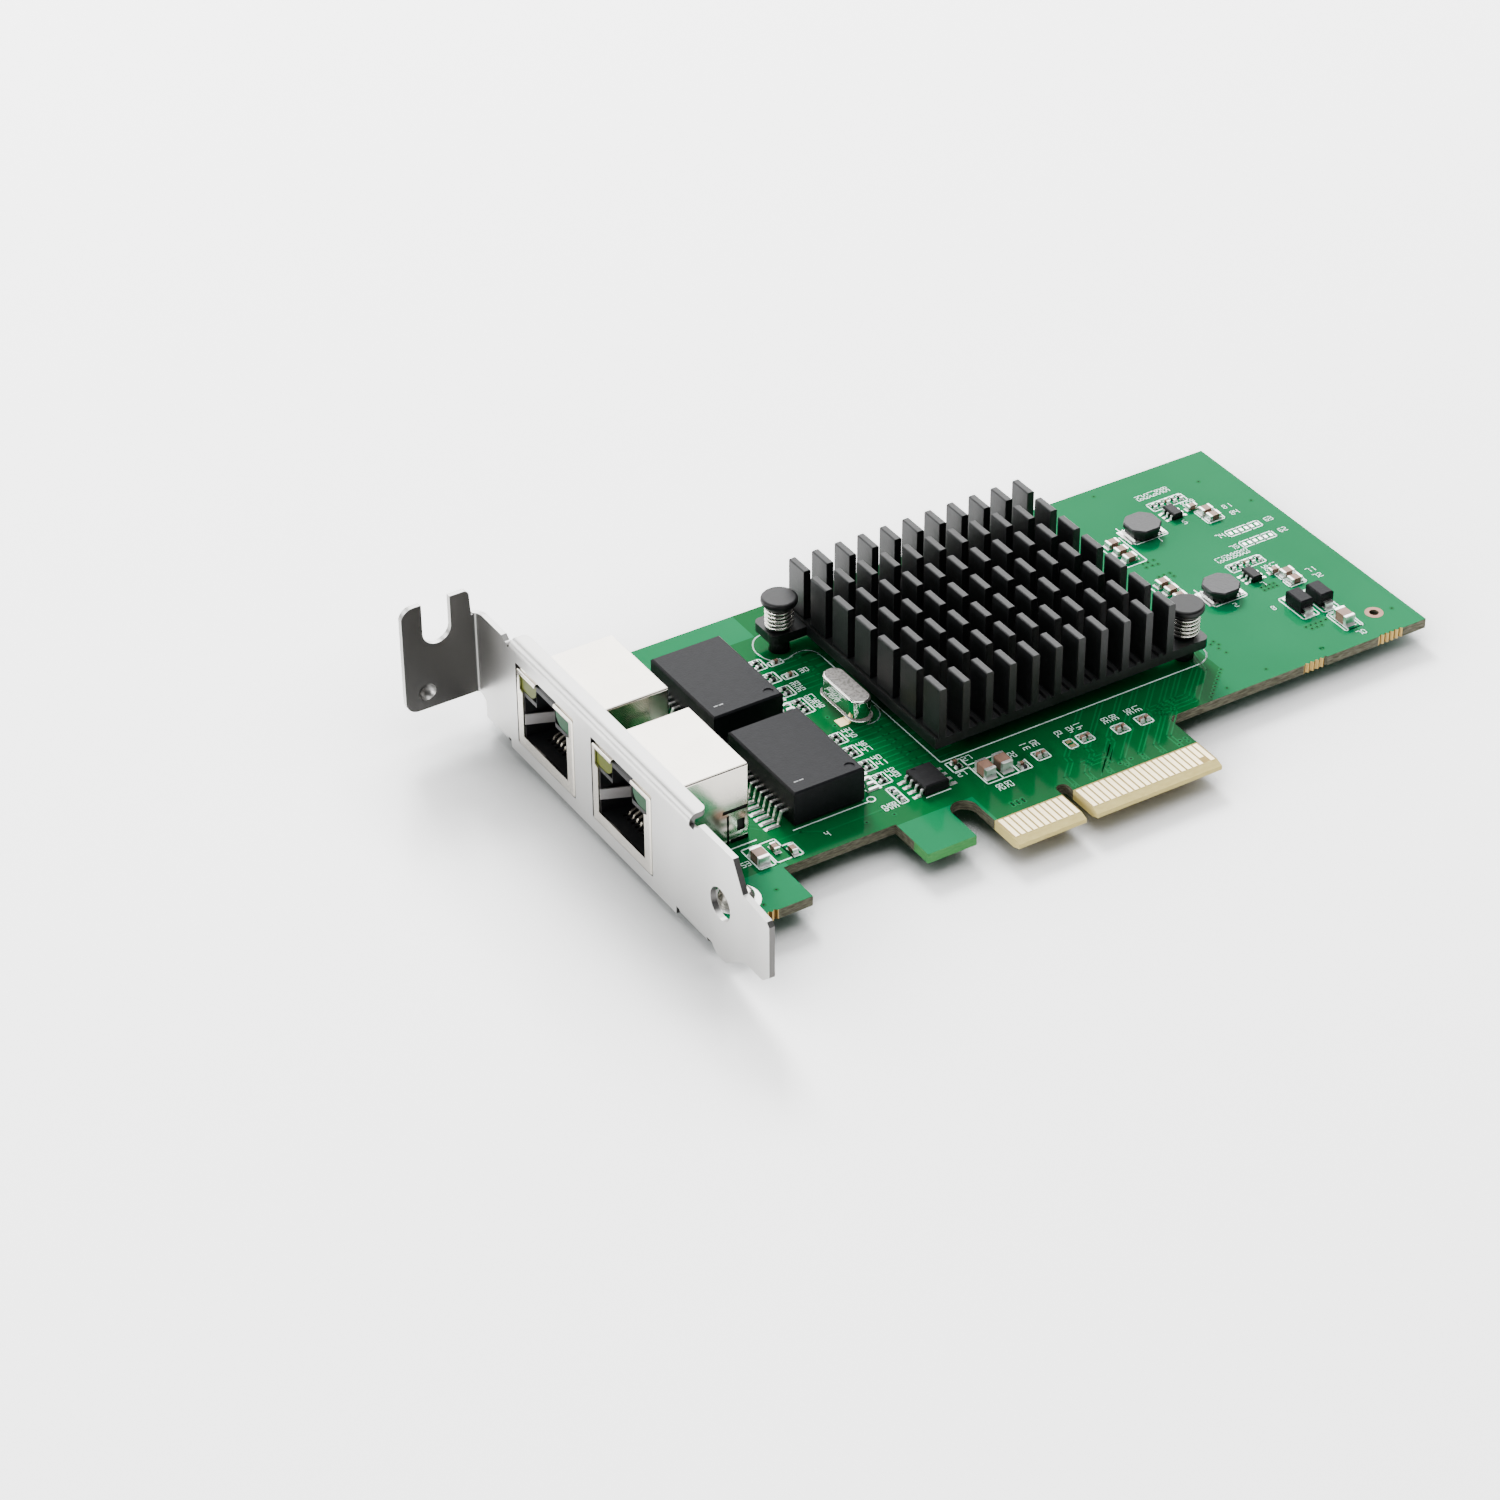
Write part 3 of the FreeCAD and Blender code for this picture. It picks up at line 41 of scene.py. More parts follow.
# ---------------------------------------------------------------- materials
def material(name, base, rough, metal=0.0, coat=0.0, spec=0.5, vary=0.0, vary_scale=200.0,
             rough_vary=0.0, bump=0.0, bump_scale=900.0, stretch=None, transmission=0.0,
             emission=None, emission_strength=0.0, sub=0.0):
    m = bpy.data.materials.new(name)
    m.use_nodes = True
    nt = m.node_tree
    p = nt.nodes["Principled BSDF"]
    p.inputs["Base Color"].default_value = (*base, 1)
    p.inputs["Roughness"].default_value = rough
    p.inputs["Metallic"].default_value = metal
    p.inputs["Coat Weight"].default_value = coat
    p.inputs["Coat Roughness"].default_value = 0.12
    p.inputs["Specular IOR Level"].default_value = spec
    if transmission:
        p.inputs["Transmission Weight"].default_value = transmission
    if sub:
        p.inputs["Subsurface Weight"].default_value = sub
        p.inputs["Subsurface Radius"].default_value = (0.0008, 0.0006, 0.0004)
    if emission:
        p.inputs["Emission Color"].default_value = (*emission, 1)
        p.inputs["Emission Strength"].default_value = emission_strength
    tc = nt.nodes.new("ShaderNodeTexCoord")
    mp = nt.nodes.new("ShaderNodeMapping")
    nt.links.new(tc.outputs["Object"], mp.inputs["Vector"])
    if stretch:
        mp.inputs["Scale"].default_value = stretch
    noise = nt.nodes.new("ShaderNodeTexNoise")
    noise.inputs["Scale"].default_value = vary_scale
    noise.inputs["Detail"].default_value = 6.0
    nt.links.new(mp.outputs["Vector"], noise.inputs["Vector"])
    if vary:
        ramp = nt.nodes.new("ShaderNodeValToRGB")
        ramp.color_ramp.elements[0].position = 0.3
        ramp.color_ramp.elements[1].position = 0.7
        ramp.color_ramp.elements[0].color = (*[max(0, c * (1 - vary)) for c in base], 1)
        ramp.color_ramp.elements[1].color = (*[min(1, c * (1 + vary)) for c in base], 1)
        nt.links.new(noise.outputs["Fac"], ramp.inputs["Fac"])
        nt.links.new(ramp.outputs["Color"], p.inputs["Base Color"])
    if rough_vary:
        mr = nt.nodes.new("ShaderNodeMapRange")
        mr.inputs["To Min"].default_value = max(0, rough - rough_vary)
        mr.inputs["To Max"].default_value = min(1, rough + rough_vary)
        nt.links.new(noise.outputs["Fac"], mr.inputs["Value"])
        nt.links.new(mr.outputs["Result"], p.inputs["Roughness"])
    if bump:
        n2 = nt.nodes.new("ShaderNodeTexNoise")
        n2.inputs["Scale"].default_value = bump_scale
        n2.inputs["Detail"].default_value = 4.0
        nt.links.new(mp.outputs["Vector"], n2.inputs["Vector"])
        b = nt.nodes.new("ShaderNodeBump")
        b.inputs["Strength"].default_value = bump
        b.inputs["Distance"].default_value = 0.0001
        nt.links.new(n2.outputs["Fac"], b.inputs["Height"])
        nt.links.new(b.outputs["Normal"], p.inputs["Normal"])
    return m


def board_material():
    """Green mask on the flat faces with lighter areas painted as sheen, woven laminate on the cut edges painted dark as
    shade, bare laminate between the contacts.
    """
    m = bpy.data.materials.new("board")
    m.use_nodes = True
    nt = m.node_tree
    nodes, link = nt.nodes, nt.links.new
    p = nodes["Principled BSDF"]
    geo = nodes.new("ShaderNodeNewGeometry")
    tc = nodes.new("ShaderNodeTexCoord")
    sn = nodes.new("ShaderNodeSeparateXYZ")
    link(geo.outputs["Normal"], sn.inputs[0])
    sp = nodes.new("ShaderNodeSeparateXYZ")
    link(tc.outputs["Object"], sp.inputs[0])

    def mth(op, a, b=None, c=None):
        n = nodes.new("ShaderNodeMath")
        n.operation = op
        for i, v in enumerate((a, b, c)):
            if v is None:
                continue
            if isinstance(v, (int, float)):
                n.inputs[i].default_value = v
            else:
                link(v, n.inputs[i])
        return n.outputs[0]

    flat = mth("GREATER_THAN", mth("ABSOLUTE", sn.outputs["Z"]), 0.97)
    # contact zone: bare laminate
    zone = mth("MULTIPLY", mth("LESS_THAN", sp.outputs["Y"], 0.0059),
               mth("GREATER_THAN", sp.outputs["X"], -0.0122))
    masked = mth("MULTIPLY", flat, mth("SUBTRACT", 1.0, zone))
    big = nodes.new("ShaderNodeTexNoise")
    big.inputs["Scale"].default_value = 22.0
    big.inputs["Detail"].default_value = 3.0
    link(tc.outputs["Object"], big.inputs["Vector"])
    green = nodes.new("ShaderNodeValToRGB")
    green.color_ramp.elements[0].position = 0.32
    green.color_ramp.elements[0].color = (0.0001, 0.062, 0.014, 1)
    green.color_ramp.elements[1].position = 0.72
    green.color_ramp.elements[1].color = (0.0001, 0.094, 0.024, 1)
    link(big.outputs["Fac"], green.inputs["Fac"])
    # painted sheen: a lighter green for the areas that stand in for reflection of the bright surroundings
    sheen_green = nodes.new("ShaderNodeValToRGB")
    sheen_green.color_ramp.elements[0].position = 0.32
    sheen_green.color_ramp.elements[0].color = (0.0001, 0.112, 0.037, 1)
    sheen_green.color_ramp.elements[1].position = 0.72
    sheen_green.color_ramp.elements[1].color = (0.0001, 0.148, 0.054, 1)
    link(big.outputs["Fac"], sheen_green.inputs["Fac"])
    weave = nodes.new("ShaderNodeTexNoise")
    weave.inputs["Scale"].default_value = 900.0
    mp = nodes.new("ShaderNodeMapping")
    mp.inputs["Scale"].default_value = (1.0, 1.0, 6.0)
    link(tc.outputs["Object"], mp.inputs["Vector"])
    link(mp.outputs["Vector"], weave.inputs["Vector"])
    # painted shade: the cut-edge laminate is given a dark grey-brown tone, darker than the pale laminate at the bevel
    edge = nodes.new("ShaderNodeValToRGB")
    edge.color_ramp.elements[0].position = 0.35
    edge.color_ramp.elements[0].color = (0.060, 0.058, 0.040, 1)
    edge.color_ramp.elements[1].position = 0.7
    edge.color_ramp.elements[1].color = (0.150, 0.145, 0.105, 1)
    link(weave.outputs["Fac"], edge.inputs["Fac"])

    def blend(fac, ca, cb):
        mx = nodes.new("ShaderNodeMix")
        mx.data_type = "RGBA"
        link(fac, mx.inputs["Factor"])
        for key, v in (("A", ca), ("B", cb)):
            if isinstance(v, tuple):
                mx.inputs[key].default_value = v
            else:
                link(v, mx.inputs[key])
        return mx.outputs["Result"]

    # pale laminate at the contacts' bevel, brown between the contacts, tan break-off stubs with painted stripes of
    # shade and highlight
    low = mth("LESS_THAN", sp.outputs["Y"], 0.00135)
    pale = blend(weave.outputs["Fac"], (0.44, 0.35, 0.12, 1), (0.62, 0.52, 0.22, 1))
    brown = blend(weave.outputs["Fac"], (0.26, 0.19, 0.07, 1), (0.40, 0.30, 0.12, 1))
    laminate = blend(zone, edge.outputs["Color"], blend(low, brown, pale))
    side_zone = mth("MULTIPLY", zone, mth("SUBTRACT", 1.0, flat))
    laminate = blend(side_zone, laminate, pale)

    def between(v, lo_, hi_):
        return mth("MULTIPLY", mth("GREATER_THAN", v, lo_), mth("LESS_THAN", v, hi_))
    stub = mth("ADD", mth("ADD", between(sp.outputs["X"], 0.0464, 0.0503), between(sp.outputs["X"], 0.0600, 0.0644)),
               between(sp.outputs["X"], -0.0503, -0.0476))
    stub = mth("MULTIPLY", stub, mth("LESS_THAN", sp.outputs["Y"], 0.0138))
    stub = mth("MULTIPLY", stub, mth("SUBTRACT", 1.0, flat))
    # painted shade and highlight: dark and bright stripes along X stand in for the shaded hollows and lit ridges of the
    # scallops
    scallop_shade = mth("GREATER_THAN", mth("SINE", mth("MULTIPLY", sp.outputs["X"], 7306.0)), 0.1)
    laminate = blend(stub, laminate, blend(scallop_shade, (0.62, 0.42, 0.15, 1), (0.11, 0.06, 0.015, 1)))
    # painted glow: the short tab has no copper under its mask, and its cut edge is coloured bright green to stand in
    # for light glowing through it
    tab_glow = mth("MULTIPLY", between(sp.outputs["X"], -0.0248, -0.0140), mth("LESS_THAN", sp.outputs["Y"], 0.0078))
    tab_glow = mth("MULTIPLY", tab_glow, mth("SUBTRACT", 1.0, flat))
    laminate = blend(tab_glow, laminate, blend(weave.outputs["Fac"], (0.010, 0.15, 0.040, 1), (0.10, 0.32, 0.10, 1)))
    # painted sheen: lighter green standing in for reflection of the bright surroundings, right of a slanting line, on
    # the two front tabs and on the strip beside the bracket
    X, Y = sp.outputs["X"], sp.outputs["Y"]
    slant = mth("GREATER_THAN", mth("SUBTRACT", X, mth("MULTIPLY", Y, 1.0)), 0.0172)
    right = mth("MAXIMUM", mth("GREATER_THAN", X, 0.0358), mth("MULTIPLY", slant, mth("GREATER_THAN", X, 0.0300)))
    right = mth("MAXIMUM", right, mth("MULTIPLY", mth("GREATER_THAN", X, 0.0302), mth("GREATER_THAN", Y, 0.0285)))
    front = mth("MULTIPLY", mth("LESS_THAN", X, -0.0117), mth("LESS_THAN", Y, 0.0121))
    front = mth("MAXIMUM", front, mth("MULTIPLY", mth("LESS_THAN", X, -0.0414), mth("LESS_THAN", Y, 0.0132)))
    back = mth("MULTIPLY", mth("GREATER_THAN", Y, 0.0612), mth("LESS_THAN", X, -0.0165))
    sheen_zone = mth("MAXIMUM", mth("MAXIMUM", right, front), back)
    mask_colour = blend(sheen_zone, green.outputs["Color"], sheen_green.outputs["Color"])
    link(blend(masked, laminate, mask_colour), p.inputs["Base Color"])
    link(mth("SUBTRACT", 0.66, mth("MULTIPLY", masked, 0.57)), p.inputs["Roughness"])
    p.inputs["Specular IOR Level"].default_value = 0.018
    b = nodes.new("ShaderNodeBump")
    b.inputs["Strength"].default_value = 0.06
    b.inputs["Distance"].default_value = 0.00005
    fine = nodes.new("ShaderNodeTexNoise")
    fine.inputs["Scale"].default_value = 1500.0
    link(tc.outputs["Object"], fine.inputs["Vector"])
    link(fine.outputs["Fac"], b.inputs["Height"])
    link(b.outputs["Normal"], p.inputs["Normal"])
    return m


def zinc_material():
    """Satin zinc; the rolled grain runs down the sheet. Faces turned towards −Y are painted darker as shade, and the −X
    faces darken towards the plate's upper far corner as painted shade.
    """
    m_ = material("zinc", (0.62, 0.615, 0.60), 0.34, metal=1.0, vary=0.05, vary_scale=160,
                  rough_vary=0.06, bump=0.10, bump_scale=2600, stretch=(1, 1, 0.25))
    nt = m_.node_tree
    p = nt.nodes["Principled BSDF"]
    ramp = [n for n in nt.nodes if n.bl_idname == "ShaderNodeValToRGB"][0]
    geo = nt.nodes.new("ShaderNodeNewGeometry")
    sn = nt.nodes.new("ShaderNodeSeparateXYZ")
    nt.links.new(geo.outputs["Normal"], sn.inputs[0])
    # painted shade: faces turned towards −Y are mixed towards dark grey
    mr = nt.nodes.new("ShaderNodeMapRange")
    mr.inputs["From Min"].default_value = -0.25
    mr.inputs["From Max"].default_value = -0.95
    nt.links.new(sn.outputs["Y"], mr.inputs["Value"])
    mx = nt.nodes.new("ShaderNodeMix")
    mx.data_type = "RGBA"
    nt.links.new(mr.outputs["Result"], mx.inputs["Factor"])
    nt.links.new(ramp.outputs["Color"], mx.inputs["A"])
    mx.inputs["B"].default_value = (0.085, 0.083, 0.080, 1)
    tc = [n for n in nt.nodes if n.bl_idname == "ShaderNodeTexCoord"][0]
    sp = nt.nodes.new("ShaderNodeSeparateXYZ")
    nt.links.new(tc.outputs["Object"], sp.inputs[0])

    def ramp_of(v, lo_, hi_):
        r_ = nt.nodes.new("ShaderNodeMapRange")
        r_.interpolation_type = "SMOOTHSTEP"
        r_.inputs["From Min"].default_value = lo_
        r_.inputs["From Max"].default_value = hi_
        nt.links.new(v, r_.inputs["Value"])
        return r_.outputs["Result"]

    def times(a_, b_):
        n = nt.nodes.new("ShaderNodeMath")
        n.operation = "MULTIPLY"
        for i, v in enumerate((a_, b_)):
            if isinstance(v, (int, float)):
                n.inputs[i].default_value = v
            else:
                nt.links.new(v, n.inputs[i])
        return n.outputs[0]
    # painted shade: the −X faces darken towards the plate's upper far corner
    corner_shade = times(times(ramp_of(sp.outputs["Y"], 0.0565, 0.0675), ramp_of(sp.outputs["Z"], 0.000, 0.013)), 0.72)
    corner_shade = times(corner_shade, ramp_of(sn.outputs["X"], -0.5, -0.9))
    mc = nt.nodes.new("ShaderNodeMix")
    mc.data_type = "RGBA"
    nt.links.new(corner_shade, mc.inputs["Factor"])
    nt.links.new(mx.outputs["Result"], mc.inputs["A"])
    mc.inputs["B"].default_value = (0.15, 0.147, 0.14, 1)
    nt.links.new(mc.outputs["Result"], p.inputs["Base Color"])
    return m_


def nickel_material():
    """Bright nickel plate; in the mouths the spring tongues and inner walls are painted dark grey as shade and made
    rougher.
    """
    m_ = material("nickel", (0.72, 0.68, 0.61), 0.17, metal=1.0, vary=0.04, vary_scale=260, rough_vary=0.05,
                  bump=0.04, bump_scale=1500)
    nt = m_.node_tree
    p = nt.nodes["Principled BSDF"]
    ramp = [n for n in nt.nodes if n.bl_idname == "ShaderNodeValToRGB"][0]
    tc = [n for n in nt.nodes if n.bl_idname == "ShaderNodeTexCoord"][0]
    sp = nt.nodes.new("ShaderNodeSeparateXYZ")
    nt.links.new(tc.outputs["Object"], sp.inputs[0])

    def mth(op, a_, b_):
        n = nt.nodes.new("ShaderNodeMath")
        n.operation = op
        for i, v in enumerate((a_, b_)):
            if isinstance(v, (int, float)):
                n.inputs[i].default_value = v
            else:
                nt.links.new(v, n.inputs[i])
        return n.outputs[0]
    # painted shade: the mouth interiors are mixed towards dark grey, and their roughness is raised
    shaded_mouths = mth("MULTIPLY", mth("GREATER_THAN", sp.outputs["X"], -0.0578), mth("LESS_THAN", sp.outputs["X"], -0.0528))
    shaded_mouths = mth("MULTIPLY", shaded_mouths, mth("LESS_THAN", sp.outputs["Z"], 0.0080))
    d1 = mth("LESS_THAN", mth("ABSOLUTE", mth("SUBTRACT", sp.outputs["Y"], 0.0491), 0.0), 0.0077)
    d2 = mth("LESS_THAN", mth("ABSOLUTE", mth("SUBTRACT", sp.outputs["Y"], 0.0283), 0.0), 0.0077)
    shaded_mouths = mth("MULTIPLY", shaded_mouths, mth("ADD", d1, d2))
    mx = nt.nodes.new("ShaderNodeMix")
    mx.data_type = "RGBA"
    nt.links.new(shaded_mouths, mx.inputs["Factor"])
    nt.links.new(ramp.outputs["Color"], mx.inputs["A"])
    mx.inputs["B"].default_value = (0.28, 0.27, 0.27, 1)
    nt.links.new(mx.outputs["Result"], p.inputs["Base Color"])
    dull = nt.nodes.new("ShaderNodeMapRange")
    dull.inputs["To Min"].default_value = 0.17
    dull.inputs["To Max"].default_value = 0.48
    nt.links.new(shaded_mouths, dull.inputs["Value"])
    nt.links.new(dull.outputs["Result"], p.inputs["Roughness"])
    return m_


def crystal_material():
    """Drawn can: polished sides, etched grey top with faint rows of marking texture."""
    m_ = bpy.data.materials.new("crystal")
    m_.use_nodes = True
    nt = m_.node_tree
    p = nt.nodes["Principled BSDF"]
    p.inputs["Metallic"].default_value = 1.0
    tc = nt.nodes.new("ShaderNodeTexCoord")
    sn = nt.nodes.new("ShaderNodeSeparateXYZ")
    nt.links.new(tc.outputs["Normal"], sn.inputs[0])
    top = nt.nodes.new("ShaderNodeMath")
    top.operation = "GREATER_THAN"
    top.inputs[1].default_value = 0.985
    nt.links.new(sn.outputs["Z"], top.inputs[0])
    nz = nt.nodes.new("ShaderNodeTexNoise")
    nz.inputs["Scale"].default_value = 2600.0
    nz.inputs["Detail"].default_value = 5.0
    nt.links.new(tc.outputs["Object"], nz.inputs["Vector"])
    ramp = nt.nodes.new("ShaderNodeValToRGB")
    ramp.color_ramp.elements[0].position = 0.36
    ramp.color_ramp.elements[1].position = 0.62
    ramp.color_ramp.elements[0].color = (0.25, 0.24, 0.23, 1)
    ramp.color_ramp.elements[1].color = (0.46, 0.44, 0.42, 1)
    nt.links.new(nz.outputs["Fac"], ramp.inputs["Fac"])
    side = nt.nodes.new("ShaderNodeValToRGB")
    side.color_ramp.elements[0].color = (0.78, 0.77, 0.72, 1)
    side.color_ramp.elements[1].color = (0.88, 0.87, 0.83, 1)
    nt.links.new(nz.outputs["Fac"], side.inputs["Fac"])
    mx = nt.nodes.new("ShaderNodeMix")
    mx.data_type = "RGBA"
    nt.links.new(top.outputs[0], mx.inputs["Factor"])
    nt.links.new(side.outputs["Color"], mx.inputs["A"])
    nt.links.new(ramp.outputs["Color"], mx.inputs["B"])
    nt.links.new(mx.outputs["Result"], p.inputs["Base Color"])
    rg = nt.nodes.new("ShaderNodeMapRange")
    rg.inputs["To Min"].default_value = 0.09
    rg.inputs["To Max"].default_value = 0.62
    nt.links.new(top.outputs[0], rg.inputs["Value"])
    nt.links.new(rg.outputs["Result"], p.inputs["Roughness"])
    return m_


M = {
    "board": board_material(),
    "mask_trace": material("mask_trace", (0.0002, 0.112, 0.030), 0.12, spec=0.02, vary=0.05, vary_scale=300),
    "mask_dark": material("mask_dark", (0.0003, 0.035, 0.014), 0.22, spec=0.5, vary=0.05, vary_scale=300),
    "silk": material("silk", (0.72, 0.88, 0.83), 0.55, spec=0.2, vary=0.05, vary_scale=900),
    "gold": material("gold", (0.92, 0.78, 0.48), 0.34, metal=0.75, vary=0.05, vary_scale=500, rough_vary=0.06),
    "pad_gold": material("pad_gold", (0.86, 0.66, 0.36), 0.30, metal=0.9, vary=0.05, vary_scale=800),
    "contact": material("contact", (0.80, 0.74, 0.62), 0.24, metal=1.0, vary=0.05, vary_scale=800),
    "zinc": zinc_material(),
    "nickel": nickel_material(),
    "screw": material("screw", (0.62, 0.60, 0.55), 0.24, metal=1.0, vary=0.06, vary_scale=900, rough_vary=0.08),
    "tin": material("tin", (0.84, 0.84, 0.82), 0.30, metal=1.0, vary=0.06, vary_scale=1200, rough_vary=0.10,
                    bump=0.12, bump_scale=2500),
    "solder": material("solder", (0.88, 0.88, 0.87), 0.32, metal=0.9, vary=0.06, vary_scale=1400, rough_vary=0.08,
                       bump=0.2, bump_scale=2200),
    "black": material("black", (0.0035, 0.0035, 0.004), 0.42, spec=0.25, vary=0.2, vary_scale=700, bump=0.05, bump_scale=3000),
    "mould": material("mould", (0.006, 0.0064, 0.0078), 0.50, spec=0.12, vary=0.15, vary_scale=900, bump=0.22, bump_scale=3500),
    "chip": material("chip", (0.006, 0.006, 0.007), 0.50, spec=0.20, vary=0.15, vary_scale=900, bump=0.2, bump_scale=3500),
    "anodised": material("anodised", (0.0042, 0.0048, 0.0050), 0.40, spec=0.32, vary=0.25, vary_scale=400,
                         rough_vary=0.05, bump=0.14, bump_scale=2600),
    "crystal": crystal_material(),
    "pad": material("thermal", (0.25, 0.25, 0.24), 0.8, vary=0.1),
    "pin": material("pin", (0.0042, 0.0043, 0.0048), 0.42, spec=0.26, vary=0.15, vary_scale=700, bump=0.10, bump_scale=1500),
    "spring": material("spring", (0.80, 0.78, 0.73), 0.14, metal=1.0, vary=0.03, vary_scale=900),
    "ferrite": material("ferrite", (0.016, 0.016, 0.018), 0.42, spec=0.42, vary=0.25, vary_scale=1500, bump=0.25, bump_scale=2500),
    "ceramic": material("ceramic", (0.20, 0.115, 0.082), 0.36, spec=0.3, vary=0.08, vary_scale=900),
    "glaze": material("glaze", (0.006, 0.006, 0.007), 0.30, spec=0.4, vary=0.15, vary_scale=1500),
    "amber": material("amber", (0.048, 0.057, 0.0008), 0.30, spec=0.12, sub=0.1, vary=0.06, vary_scale=300),
    "green_lamp": material("green_lamp", (0.004, 0.036, 0.013), 0.30, spec=0.12, sub=0.1, vary=0.06, vary_scale=300),
    "ring": material("ring", (0.26, 0.12, 0.075), 0.4, metal=0.3, vary=0.1, vary_scale=900),
    "ink": material("ink", (0.30, 0.31, 0.31), 0.6, spec=0.2, vary=0.08, vary_scale=1500),
    "dark": material("dark", (0.002, 0.002, 0.002), 0.8, spec=0.1),
}
PAINT = {
    "circuit_board": "board", "edge_contacts_component_side": "gold", "edge_contacts_solder_side": "gold",
    "bracket": "zinc", "bracket_screws": "screw", "crystal_base": "nickel", "crystal_can": "crystal",
    "heatsink": "anodised", "controller_chip": "chip", "thermal_pad": "pad", "flash_chip_body": "chip",
    "flash_chip_leads": "tin", "regulator_bodies": "chip", "regulator_leads": "tin",
    "power_diode_bodies": "mould", "power_diode_terminals": "tin", "chip_resistor_bodies": "glaze",
    "chip_resistor_ends": "tin",
}
for k in ("large", "medium", "small"):
    PAINT[k + "_capacitor_bodies"] = "ceramic"
    PAINT[k + "_capacitor_ends"] = "tin"
for i in (1, 2):
    PAINT.update({"jack_%d_shield" % i: "nickel", "jack_%d_housing" % i: "black", "jack_%d_contacts" % i: "contact",
                  "jack_%d_lamp_amber" % i: "amber", "jack_%d_lamp_green" % i: "green_lamp",
                  "transformer_%d_body" % i: "mould", "transformer_%d_leads" % i: "tin",
                  "inductor_%d_core" % i: "ferrite", "inductor_%d_terminals" % i: "tin",
                  "push_pin_%d" % i: "pin", "push_pin_spring_%d" % i: "spring"})
BEVEL = {"bracket": 0.08, "jack_1_shield": 0.04, "jack_2_shield": 0.04, "circuit_board": 0.0, "transformer_1_body": 0.12, "transformer_2_body": 0.12,
         "bracket_screws": 0.05, "power_diode_bodies": 0.06, "large_capacitor_bodies": 0.05, "chip_resistor_bodies": 0.03,
         "medium_capacitor_bodies": 0.04, "small_capacitor_bodies": 0.03, "controller_chip": 0.05,
         "flash_chip_body": 0.04, "regulator_bodies": 0.03, "inductor_1_core": 0.08, "inductor_2_core": 0.08,
         "jack_1_housing": 0.04, "jack_2_housing": 0.04}
for name, o in N.items():
    o.data.materials.clear()
    o.data.materials.append(M[PAINT[name]])
    b = BEVEL.get(name, 0)
    if b:
        mod = o.modifiers.new("edge", "BEVEL")
        mod.width = b * MM
        mod.segments = 2
        mod.limit_method = "ANGLE"
        mod.angle_limit = math.radians(35)
        mod.harden_normals = False


# ---------------------------------------------------------------- small pieces drawn on the board
def piece(name, polys, z0, z1, mat):
    """Flat plates from outlines in mm, one object."""
    bm = bmesh.new()
    for poly in polys:
        lo = [bm.verts.new((x * MM, y * MM, z0 * MM)) for x, y in poly]
        hi = [bm.verts.new((x * MM, y * MM, z1 * MM)) for x, y in poly]
        n = len(poly)
        bm.faces.new(hi)
        bm.faces.new(list(reversed(lo)))
        for i in range(n):
            bm.faces.new((lo[i], lo[(i + 1) % n], hi[(i + 1) % n], hi[i]))
    bmesh.ops.recalc_face_normals(bm, faces=bm.faces)
    me = bpy.data.meshes.new(name)
    bm.to_mesh(me)
    bm.free()
    me.materials.append(M[mat])
    o = bpy.data.objects.new(name, me)
    bpy.context.scene.collection.objects.link(o)
    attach(o, "root")
    return o


def rect(x0, y0, x1, y1):
    return [(x0, y0), (x1, y0), (x1, y1), (x0, y1)]


def seg(a, b, w):
    (x0, y0), (x1, y1) = a, b
    L = math.hypot(x1 - x0, y1 - y0) or 1.0
    dx, dy = (x1 - x0) / L * w / 2, (y1 - y0) / L * w / 2
    return [(x0 - dy - dx, y0 + dx - dy), (x0 - dy - dx + 2 * dy, y0 + dx - dy - 2 * dx), (x1 + dy + dx, y1 - dx + dy), (x1 + dy + dx - 2 * dy, y1 - dx + dy + 2 * dx)]


def path(points, w, closed=False):
    pts = list(points) + ([points[0]] if closed else [])
    return [seg(pts[i], pts[i + 1], w) for i in range(len(pts) - 1)]


def smooth(pts, n=5):
    """Rounded line through the points."""
    out = [pts[0]]
    ext = [pts[0]] + list(pts) + [pts[-1]]
    for i in range(1, len(ext) - 2):
        a, b, c, d = ext[i - 1], ext[i], ext[i + 1], ext[i + 2]
        for k in range(1, n + 1):
            t = k / n
            out.append(tuple(0.5 * (2 * b[j] + (c[j] - a[j]) * t + (2 * a[j] - 5 * b[j] + 4 * c[j] - d[j]) * t * t
                                    + (3 * b[j] - a[j] - 3 * c[j] + d[j]) * t ** 3) for j in (0, 1)))
    return out


def disc(x, y, r, n=20):
    return [(x + r * math.cos(2 * math.pi * i / n), y + r * math.sin(2 * math.pi * i / n)) for i in range(n)]


def annulus(x, y, r0, r1, n=24, a0=0.0, a1=360.0):
    out = []
    for i in range(n):
        t0 = math.radians(a0 + (a1 - a0) * i / n)
        t1 = math.radians(a0 + (a1 - a0) * (i + 1) / n)
        out.append([(x + r0 * math.cos(t0), y + r0 * math.sin(t0)), (x + r1 * math.cos(t0), y + r1 * math.sin(t0)),
                    (x + r1 * math.cos(t1), y + r1 * math.sin(t1)), (x + r0 * math.cos(t1), y + r0 * math.sin(t1))])
    return out


def m(x, y):
    """Measured board coordinates (first contact, contact line) to the row frame, mm."""
    return x - 11.5, y + 5.6


def mbox(x0, y0, x1, y1):
    a, b = m(x0, y0), m(x1, y1)
    return [(a[0], a[1]), (b[0], a[1]), (b[0], b[1]), (a[0], b[1])]


